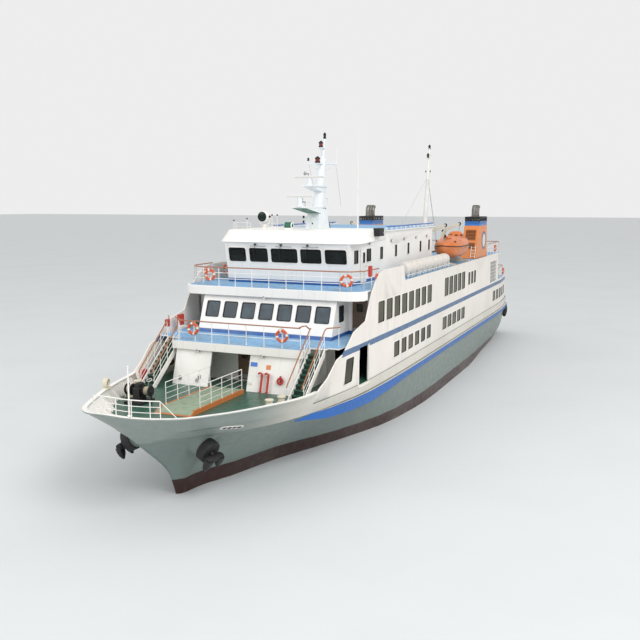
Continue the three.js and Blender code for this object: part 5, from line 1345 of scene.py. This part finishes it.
def mast_gear(piece):
    """Horns and small domes round the platform, ladders and rungs."""
    horn = [(0, 0.03), (0.2, 0.035), (0.34, 0.06), (0.42, 0.12), (0.43, 0.1)]
    for x, y, z in ((9.3, -0.3, 13.78), (9.7, -0.3, 13.98), (8.7, -0.34, 15.55)):
        piece.turned((x, y, z), (1, -0.2, 0.05), horn, STEEL, 18)
        piece.rod((x + 0.08, y, z - 0.26), (x + 0.08, y, z), 0.02, STEEL)
    dome = [(0, 0.05), (0.03, 0.1), (0.07, 0.1), (0.12, 0.05), (0.13, 0.01)]
    for x, y, high in ((7.5, 0.44, 0.5), (7.5, -0.44, 0.4), (10.2, 0.4, 0.25)):
        piece.rod((x, y, 13.5), (x, y, 13.5 + high), 0.018, MAST_WHITE)
        piece.turned((x, y, 13.5 + high), UP, dome, MAST_WHITE, 16)
    for z in (12.45, 12.75):
        piece.rod((8.98, -0.3, z), (9.35, -0.42, z + 0.05), 0.025, MAST_WHITE)
        piece.turned((9.35, -0.42, z + 0.02), UP, [(0, 0.06), (0.14, 0.06), (0.16, 0.02)], GEAR_BLACK, 12)
    # Raked ladder from the roof to the platform, and rails of the upper ladder on the column
    for y in (-0.2, 0.2):
        piece.rod((6.5, y, 12.12), (7.35, y, 13.5), 0.03, LAMP_GREEN)
        piece.rod((7.55, y * 0.7, 14.9), (7.1, y * 0.7, 16.2), 0.016, MAST_WHITE)
    for k in range(6):
        t = (k + 0.5) / 6
        x, z = 6.47 + 0.85 * t, 12.12 + 1.38 * t
        piece.box((x, -0.2, z), (x + 0.13, 0.2, z + 0.03), LAMP_GREEN)


def main_mast():
    piece = Piece("signal_mast")
    mast_tower(piece)
    mast_yard(piece)
    mast_gear(piece)
    piece.done("main_mast", slot="cream_paint")


def scanners():
    for name, x, top, length in (("lower_scanner", 10.8, 14.0, 1.9), ("upper_scanner", 9.35, 15.2, 2.15)):
        piece = Piece(f"{name}_head", name)
        low = top + GAP
        piece.turned((x, 0, low), UP, [(0, 0.12), (0.02, 0.13), (0.05, 0.11), (0.1, 0.07)], MAST_WHITE, 20)
        rings = []
        for y, size in ((-0.5, 0.6), (-0.49, 0.9), (-0.47, 1), (0.47, 1), (0.49, 0.9), (0.5, 0.6)):
            middle = Vector((x, y * length, low + 0.14))
            rings.append([middle + Vector((u * size, 0, v * size)) for u, v in rounded(0.18, 0.13, 0.04)])
        piece.loft(rings, MAST_WHITE)
        reach = length * 0.46
        piece.box((x + 0.07, -reach, low + 0.1), (x + 0.095, reach, low + 0.18), MARK_WHITE, 0.005)
        piece.done(name)


def aft_mast():
    piece = Piece("after_mast")
    foot, x = DECK_3 + GAP, -16.5
    piece.box((x - 0.3, -0.3, foot), (x + 0.3, 0.3, foot + 0.1), RAIL_WHITE, 0.02)
    start, end = Vector((x, 0, foot + 0.06)), Vector((x - 1.4, 0, 19.2))
    run = (end - start).length
    profile = [(0, 0.3), (0.15, 0.22), (3.2, 0.21), (6.5, 0.17), (7.4, 0.14), (run - 0.9, 0.1),
               (run - 0.4, 0.08)]
    piece.turned(start, end - start, profile, RAIL_WHITE, 20)

    def at(z):
        return start.lerp(end, (z - start.z) / (end.z - start.z))

    for z, half in ((16.6, 0.26), (18.2, 0.3)):
        middle = at(z)
        piece.rod(middle - Vector((0, half, 0)), middle + Vector((0, half, 0)), 0.035, RAIL_WHITE)
    for z, ahead in ((17.95, 0.28), (18.75, -0.05)):
        middle = at(z)
        low, high = Vector((min(0, ahead), -0.1, -0.04)), Vector((max(0.1, ahead + 0.1), 0.1, 0))
        piece.box(middle + low, middle + high, RAIL_WHITE)
        signal_lamp(piece, middle + Vector((ahead, 0, 0)), GEAR_BLACK, 0.42, 0.12)
    for y in (-0.22, 0.22):
        signal_lamp(piece, at(16.6) + Vector((0, y, 0.03)), GEAR_BLACK, 0.16, 0.05)
    for y in (-0.13, 0.13):
        piece.rod(at(9.3) + Vector((-0.24, y, 0)), at(17.0) + Vector((-0.17, y, 0)), 0.014, RAIL_WHITE)
    for k in range(24):
        rung = at(9.45 + k * 0.32) + Vector((-0.21, 0, 0))
        piece.rod(rung - Vector((0, 0.13, 0)), rung + Vector((0, 0.13, 0)), 0.01, RAIL_WHITE, 6)
    for sx, sy in ((-12.5, -2.6), (-12.5, 2.6), (-21.5, 0)):
        eye = Vector((sx, sy, foot + 0.02))
        piece.rod(eye, at(16.2), 0.013, STEEL, 6)
        piece.rod(eye, eye.lerp(at(16.2), 0.06), 0.035, STEEL, 8)
        piece.block(sx, sy, 0.1, 0.1, foot, foot + 0.05, RAIL_WHITE)
    piece.done("aft_mast", slot="cream_paint")


def searchlight():
    x, y, z, low = 12.0, -1.82, 12.9, 12.35 + GAP
    piece = Piece("searchlight_head", "searchlight")
    piece.turned((x, y, low), UP, [(0, 0.13), (0.03, 0.13), (0.08, 0.09)], RAIL_WHITE, 20)
    turns = [math.pi * k / 12 for k in range(13)]
    fork = [(x, y + 0.37 * math.cos(t), z - 0.08 - 0.5 * math.sin(t)) for t in turns]
    fork = [(x, y + 0.37, z + 0.04), *fork, (x, y - 0.37, z + 0.04)]
    piece.pipe(fork, 0.035, RAIL_WHITE, 10)
    barrel = [(-0.34, 0.02), (-0.33, 0.12), (-0.28, 0.22), (-0.2, 0.29), (-0.05, 0.32), (0.15, 0.33),
              (0.3, 0.31), (0.32, 0.29), (0.3, 0.26)]
    piece.turned((x, y, z), (1, 0, 0), barrel, RAIL_WHITE, 32)
    piece.turned((x, y, z), (1, 0, 0), [(0.29, 0.26), (0.31, 0.25), (0.325, 0.16), (0.33, 0.02)], LENS, 32)
    piece.ring((x + 0.318, y, z), (1, 0, 0), 0.27, 0.028, GEAR_BLACK, 32)
    for side in WAYS:
        knob = [(0, 0.07), (0.06, 0.07), (0.08, 0.04)]
        piece.turned((x, y + side * 0.33, z), (0, side, 0), knob, GEAR_BLACK, 14)
    piece.done("searchlight")


def roof_gear():
    piece = Piece("wheelhouse_roof_gear")
    # Green drum on its side, with a hoop at each end
    drum = [(0, 0.08), (0.02, 0.17), (0.05, 0.205), (0.47, 0.205), (0.5, 0.17), (0.52, 0.08)]
    piece.turned((11.95, -0.46, 12.38), (0, 1, 0), drum, LAMP_GREEN, 28)
    for dy in (0.08, 0.44):
        piece.ring((11.95, -0.46 + dy, 12.38), (0, 1, 0), 0.206, 0.012, LAMP_GREEN, 28, 6)
    socket = [(0, 0.22), (0.03, 0.22), (0.05, 0.15), (0.2, 0.135), (0.24, 0.15)]
    piece.turned((12.0, -1.82, ROOF_TOP), UP, socket, RAIL_WHITE, 20)
    # Low rail along the forward edge, with lamps on stalks
    for start, end, spacing in (((12.2, -3.7), (12.35, -2.6), 1.1), ((12.35, -1.4), (12.35, -0.9), 0.6)):
        line = [(*start, ROOF_TOP), (*end, ROOF_TOP)]
        guard_rail(piece, line, spacing, (0.42, 0.2), RAIL_WHITE, 0.014, 0.012)
    stalks = ((12.2, -3.85, 0.5), (12.25, -2.9, 0.62), (12.3, -1.15, 0.85), (12.3, -0.8, 0.85),
              (11.6, 1.2, 0.35))
    for x, y, high in stalks:
        piece.rod((x, y, ROOF_TOP), (x, y, ROOF_TOP + high), 0.016, RAIL_WHITE)
        head = [(0, 0.025), (0.02, 0.04), (0.08, 0.04), (0.11, 0.015)]
        piece.turned((x, y, ROOF_TOP + high), UP, head, GEAR_BLACK, 12)
    # Whip aerial: a stiff lower part and a thin upper one
    x, y, joint = 9.2, 3.2, 4.34
    base = [(0, 0.05), (0.3, 0.045), (0.34, 0.026), (joint, 0.022), (joint + 0.01, 0.035),
            (joint + 0.08, 0.035)]
    piece.turned((x, y, ROOF_TOP - 0.02), UP, base, RAIL_WHITE, 10)
    piece.rod((x, y, ROOF_TOP + joint), (x, y, ROOF_TOP + 6.0), 0.011, RAIL_WHITE, 6, 0.006)
    piece.done()


# Under the water

RUDDER_X = -27.3


def propellers():
    for name, side in SIDES:
        x, y, z = -25.4, side * 2.5, -1.72
        piece = Piece(f"bronze_propeller_{name}", f"propeller_{name}")
        hub = [(0, 0.17), (0.02, 0.18), (0.4, 0.17), (0.55, 0.14), (0.66, 0.07), (0.69, 0.01)]
        piece.turned((x + 0.447, y, z), (-1, 0, 0), hub, BRONZE, 28)
        # Columns: radius, chord, pitch angle, skew, thickness
        blade = ((0.12, 0.3, 62, 0.0, 0.06), (0.25, 0.36, 50, 0.02, 0.05), (0.42, 0.44, 40, 0.03, 0.036),
                 (0.6, 0.42, 32, 0.0, 0.026), (0.74, 0.27, 27, -0.05, 0.018), (0.8, 0.08, 25, -0.09, 0.01))
        # Section of a blade, in half-chords and half-thicknesses
        section = ((1, 0), (0.5, 0.8), (0, 1), (-0.5, 0.8), (-1, 0), (-0.5, -0.6), (0, -0.7), (0.5, -0.6))
        for k in range(4):
            spin = Matrix.Rotation(math.tau * k / 4, 3, "X")
            rings = []
            for radius, chord, pitch, skew, thick in blade:
                turn = math.radians(pitch) * side
                ring = []
                for u, v in section:
                    along, off = u * chord / 2 + skew, v * thick / 2
                    point = Vector((math.sin(turn) * along + math.cos(turn) * off,
                                    math.cos(turn) * along - math.sin(turn) * off, radius))
                    ring.append(spin @ point + Vector((x + 0.08, y, z)))
                rings.append(ring)
            piece.loft(rings, BRONZE)
        piece.done(f"propeller_{name}", slot="bronze")
        rudder = Piece(f"faired_rudder_{name}", f"rudder_{name}")
        foil = ((-26.76, 0.0), (-26.82, 0.05), (-27.0, 0.095), (RUDDER_X, 0.112), (-27.65, 0.085),
                (-28.1, 0.015))
        outline = [*foil, *[(u, -v) for u, v in reversed(foil[1:])]]
        rings = []
        for level, size in ((-2.6, 0.93), (-2.57, 1), (-0.93, 1), (-0.9, 0.95)):
            rings.append([(RUDDER_X + (u - RUDDER_X) * size, y + v * size, level) for u, v in outline])
        rudder.loft(rings, ANTIFOULING)
        rudder.turned((RUDDER_X, y, -0.92), UP, [(0, 0.14), (0.03, 0.13), (0.1694, 0.12)], STEEL, 20)
        rudder.done(f"rudder_{name}", slot="antifouling")


# Doors

# Reach of a door's outer face beyond its wall: the frame, the gap, the seal and the leaf
DOOR_FACE = 0.08 + 0.004 + 0.012 + 0.05


def door_handle(piece, wall, side, level):
    """A lever on a short stem, near the edge that opens."""
    piece.rod(wall.at(side * 0.34, level, 0), wall.at(side * 0.34, level, 0.06), 0.02, STEEL)
    piece.rod(wall.at(side * 0.34, level, 0.055), wall.at(side * 0.22, level, 0.055), 0.014, STEEL)


def doors():
    leaves = [("entrance_door", 17.2, -0.3, MAIN_DECK)]
    leaves += [(f"saloon_door_{name}", 13.2, side * 4.95, DECK_2) for name, side in SIDES]
    for node, wall_x, y, deck in leaves:
        face = wall_x + DOOR_FACE
        wall = Wall((face, y, deck + 0.1), (0, 1, 0))
        piece = Piece(f"{node}_furniture", node)
        window(piece, wall, 0, 1.45, 0.4, 0.5, SIDE_PANE, radius=0.08, rim=0.05, finish=DOOR_PAINT)
        door_handle(piece, wall, 1, 1.05)
        piece.plate(wall, 0, 0.18, rounded(0.78, 0.24, 0.02, 2), -0.01, 0.006, STEEL)
        piece.done(slot="brown_paint")
    for name, side in SIDES:
        wall = Wall((10.66, side * 4.162, DECK_3 + 0.1), (-side, 0, 0))
        piece = Piece(f"wheelhouse_door_{name}_furniture", f"wheelhouse_door_{name}")
        window(piece, wall, 0, 1.475, 0.42, 0.65, BRIDGE_PANE, radius=0.08, rim=0.05)
        door_handle(piece, wall, side, 0.95)
        piece.done()


# Bow rail, jackstaff and plating

def bow_gear():
    low, high = (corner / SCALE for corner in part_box("jackstaff"))
    foot = Vector(((low.x + high.x) / 2, (low.y + high.y) / 2, low.z + 0.02))
    piece = Piece("bow_jackstaff")
    staff = [(0, 0.08), (0.05, 0.08), (0.08, 0.04), (1.2, 0.034), (high.z - foot.z - 0.06, 0.026)]
    piece.turned(foot, UP, staff, RAIL_WHITE, 16)
    truck = [(0, 0.026), (0.02, 0.045), (0.05, 0.045), (0.08, 0.01)]
    piece.turned((foot.x, foot.y, high.z - 0.08), UP, truck, RAIL_WHITE, 16)
    piece.rod(foot + UP * 0.9, foot + Vector((-0.1, -0.02, 0.9)), 0.014, STEEL)
    piece.done("jackstaff")
    # The rail follows the cap from the starboard bow to the port bow, with a brace at the port end
    cap = surface_of("bow_bulwark")
    line = []
    above, inset = 6, 0.07
    for k in range(10):
        y = -0.7 + k * 0.3
        # The foremost point of the cap, looked for every 20 mm from 30 m to 27 m
        reach = [x / 50 for x in range(1500, 1350, -1) if met(cap, (x / 50, y, above), -UP)]
        line.append(met(cap, (reach[0] - inset, y, above), -UP))
    piece = Piece("bow_guard_rail")
    bow_rail_height = 0.75
    for height, radius in ((bow_rail_height, 0.026), (0.5, 0.016), (0.25, 0.016)):
        piece.pipe([point + UP * height for point in line], radius, RAIL_WHITE)
    for point in line[::2] + line[-1:]:
        piece.rod(point - UP * 0.02, point + UP * bow_rail_height, 0.02, RAIL_WHITE)
    piece.rod(line[-1] + UP * bow_rail_height, (28.15, 2.5, 4.86), 0.018, RAIL_WHITE)
    piece.done("bow_rail")


def bow_plating():
    """Faired plating outside the joint of hull and bulwark, from the grey paint's edge up to the cap."""
    skins = [surface_of("hull"), surface_of("bow_bulwark")]
    piece = Piece("bow_plating")
    # Levels of the foot, of the knuckle below the cap and of a place above the cap
    low, knuckle, top, cap_depth = 3.3, 3.6, 5.3, 0.09
    # The rings stand like a fan about an upright line inside the bow
    fan, step, fan_x = 52, math.radians(1.5), 19
    rings = []
    for k in range(-fan, fan + 1):
        out = Vector((math.cos(k * step), math.sin(k * step), 0))

        def reach(z):
            centre = Vector((fan_x, 0, z))
            spots = [met(skin, centre + out * 20, -out) for skin in skins]
            return max([(spot - centre).length for spot in spots if spot], default=0)

        sunk = reach(knuckle) - 0.3
        high = next(z for z in [top - 0.02 * n for n in range(100)] if reach(z) > sunk) - cap_depth
        levels = [low + (high - low) * t / 8 for t in range(9)]
        found = [reach(z) for z in levels]
        even = list(found)
        for _ in range(6):
            even = [even[0], *[(a + 2 * b + c) / 4 for a, b, c in zip(even, even[1:], even[2:])], even[-1]]
        radii = [max(a, b) + 0.012 for a, b in zip(found, even)]
        outer = [Vector((fan_x, 0, z)) + out * radius for z, radius in zip(levels, radii)]
        inner = [point - out * 0.04 for point in reversed(outer)]
        rings.append(outer + inner)
    # The plating takes the bow's white, with its painted shade
    piece.loft(rings, BOW_WHITE_WITH_PAINTED_SHADE)
    piece.done()


def bulwark_stays():
    """Plate brackets on the inner side of the bulwark."""
    piece = Piece("bulwark_stays")
    skin = surface_of("bow_bulwark")
    for x in [21.2 + 0.8 * k for k in range(8)]:
        for side in WAYS:
            foot = met(skin, (x, 0, MAIN_DECK + 0.06), (0, side, 0))
            head = met(skin, (x, 0, 4.42), (0, side, 0))
            if not foot or not head:
                continue
            shape = [foot + Vector((0, side * 0.02, -0.05)), head + Vector((0, side * 0.02, 0)),
                     head - Vector((0, side * 0.06, 0)), foot - Vector((0, side * 0.3, 0.05))]
            piece.loft([[point + Vector((w, 0, 0)) for point in shape] for w in (-0.012, 0.012)], RAIL_WHITE)
    piece.done()


def side_openings():
    """The barred opening near the stern, and the frame of the gangway doorway."""
    piece = Piece("side_opening_bars")
    for name, side in SIDES:
        skin = surface_of(f"side_shell_{name}")
        wall = side_wall(skin, side, -19.8, 7.3, 3.0, 2.0)
        # Painted shade: a dark grey sheet at the back of the opening
        piece.plate(wall, 0, 0, rounded(3.1, 2.1, 0.05), -0.42, -0.36, OPENING_PAINTED_SHADE)
        rim, clear = rounded(3.12, 2.12, 0.08), rounded(2.98, 1.98, 0.05)
        piece.border(wall, 0, 0, rim, clear, -0.06, 0.02, RAIL_WHITE)
        for k in range(1, 8):
            u = -1.5 + k * 0.375
            piece.rod(wall.at(u, -0.99, -0.04), wall.at(u, 0.99, -0.04), 0.022, RAIL_WHITE)
        for k in range(1, 6):
            v = -1 + k * 0.333
            piece.rod(wall.at(-1.49, v, -0.04), wall.at(1.49, v, -0.04), 0.022, RAIL_WHITE)
        wall = side_wall(skin, side, 15.0, 4.875, 1.4, 2.15)
        rim, clear = rounded(1.54, 2.29, 0.1), rounded(1.38, 2.13, 0.04)
        piece.border(wall, 0, 0, rim, clear, -0.06, 0.025, RAIL_WHITE)
    piece.done()


def skins():
    """Finishes of the plating that keeps its shape, with eased edges."""
    # The bow's plating bends round this x
    bow_centre = 16

    def every(centre, normal):
        return True

    def up(centre, normal):
        return normal.z > 0.7

    def outboard(centre, normal):
        return normal.z < 0.5 and normal.x * (centre.x - bow_centre) + normal.y * centre.y * 2 > 0

    def inboard(centre, normal):
        return normal.z < 0.5 and not outboard(centre, normal)

    # The bulwark's outer side takes the bow's white with its painted shade; the cap and inner side do not
    bulwark = [(every, WHITE), (outboard, BOW_WHITE_WITH_PAINTED_SHADE), (inboard, BULWARK_WHITE)]
    skinned("bow_bulwark_plating", "bow_bulwark", bulwark, 0.01)
    # The top of the rub rail takes the bow's white, with its painted shade
    skinned("rub_rail_plating", "rub_rail", [(every, RUB_PAINT), (up, BOW_WHITE_WITH_PAINTED_SHADE)], 0.02)
    for node, finish, ease in (("hull", HULL_PAINT, 0), ("deck_3_fascia", SALOON_PAINT, 0.02),
                               ("main_house_front", WHITE, 0.012), ("saloon_front", SALOON_PAINT, 0.012),
                               ("wheelhouse_front", BRIDGE_PAINT, 0.012), ("wheelhouse_roof", WHITE, 0.03),
                               ("deckhouse", BRIDGE_PAINT, 0.012), ("saloon_aft_bulkhead", WHITE, 0.012),
                               ("main_aft_bulkhead", WHITE, 0.012)):
        skinned(f"{node}_plating", node, [(every, finish)], ease)
    for node in ("deck_2", "deck_3", "top_deck", "deck_2_fascia"):
        skinned(f"{node}_plating", node, [(every, WHITE), (up, BLUE_DECK)], 0.008)
    for name, _ in SIDES:
        skinned(f"side_plating_{name}", f"side_shell_{name}", [(every, SHELL_PAINT)], 0.012)
        node = f"wheelhouse_side_{name}"
        skinned(f"wheelhouse_side_plating_{name}", node, [(every, BRIDGE_PAINT)], 0.012)
        skinned(f"funnel_casing_{name}", f"funnel_{name}", [(every, FUNNEL_PAINT)], 0.05)
    for node, finish in (("entrance_door", DOOR_PAINT),
                         *[(f"saloon_door_{name}", DOOR_PAINT) for name, _ in SIDES],
                         *[(f"wheelhouse_door_{name}", RAIL_WHITE) for name, _ in SIDES]):
        data = frame["nodes"][node].data
        data.materials.clear()
        data.materials.append(finish)


# Stage, light and camera

def stage():
    coat = Coat("pale_floor", "#d6d9da")
    coat.stain("#cdd1d3", 0.4, 0.25)
    finish = coat.ready(0.6, sockets={"IOR": 1.35})
    data = bpy.data.meshes.new("floor")
    data.from_pydata([(-400, -400, 0), (400, -400, 0), (400, 400, 0), (-400, 400, 0)], [], [(0, 1, 2, 3)])
    data.materials.append(finish)
    floor = put("floor", data)
    world = bpy.data.worlds.new("studio")
    world.use_nodes = True
    background = world.node_tree.nodes["Background"]
    background.inputs["Color"].default_value = colour("#f3f3f3")
    background.inputs["Strength"].default_value = 0.95
    bpy.context.scene.world = world
    bpy.context.scene.view_settings.view_transform = "Standard"
    # Lights. Columns: name, place, point lit, width, power
    for name, spot, aim, size, power in (("key", (30, 40, 40), (0, 2, 3), 26, 16000),
                                         ("fill", (45, -30, 26), (6, 0, 3), 24, 5000)):
        light = bpy.data.lights.new(name, "AREA")
        light.size = size
        light.energy = power
        made = put(name, light)
        made.location = spot
        made.rotation_euler = (Vector(aim) - Vector(spot)).to_track_quat("-Z", "Y").to_euler()


def camera():
    eye = bpy.data.cameras.new("camera")
    eye.lens = 43.54
    eye.sensor_width = 36
    eye.clip_end = 1500
    made = put("camera", eye)
    # The camera looks down by the pitch, aft and to starboard
    pitch, aft, starboard = math.radians(8.51), -0.9158, -0.4017
    look = Vector((aft * math.cos(pitch), starboard * math.cos(pitch), -math.sin(pitch)))
    made.location = (27.135, 10.21, 6.825)
    made.rotation_euler = look.to_track_quat("-Z", "Y").to_euler()
    bpy.context.scene.camera = made


stage()
camera()
skins()
glaze_sides()
glaze_fronts()
wipers()
deck_rails()
lifebuoys()
stairs()
boarding_ramp()
windlass()
bollards()
anchors()
hull_fittings()
deck_fittings()
lamps()
lifeboats()
davits()
liferafts()
funnel_tops()
funnel_fronts()
main_mast()
scanners()
aft_mast()
searchlight()
roof_gear()
propellers()
doors()
bow_gear()
bow_plating()
bulwark_stays()
side_openings()
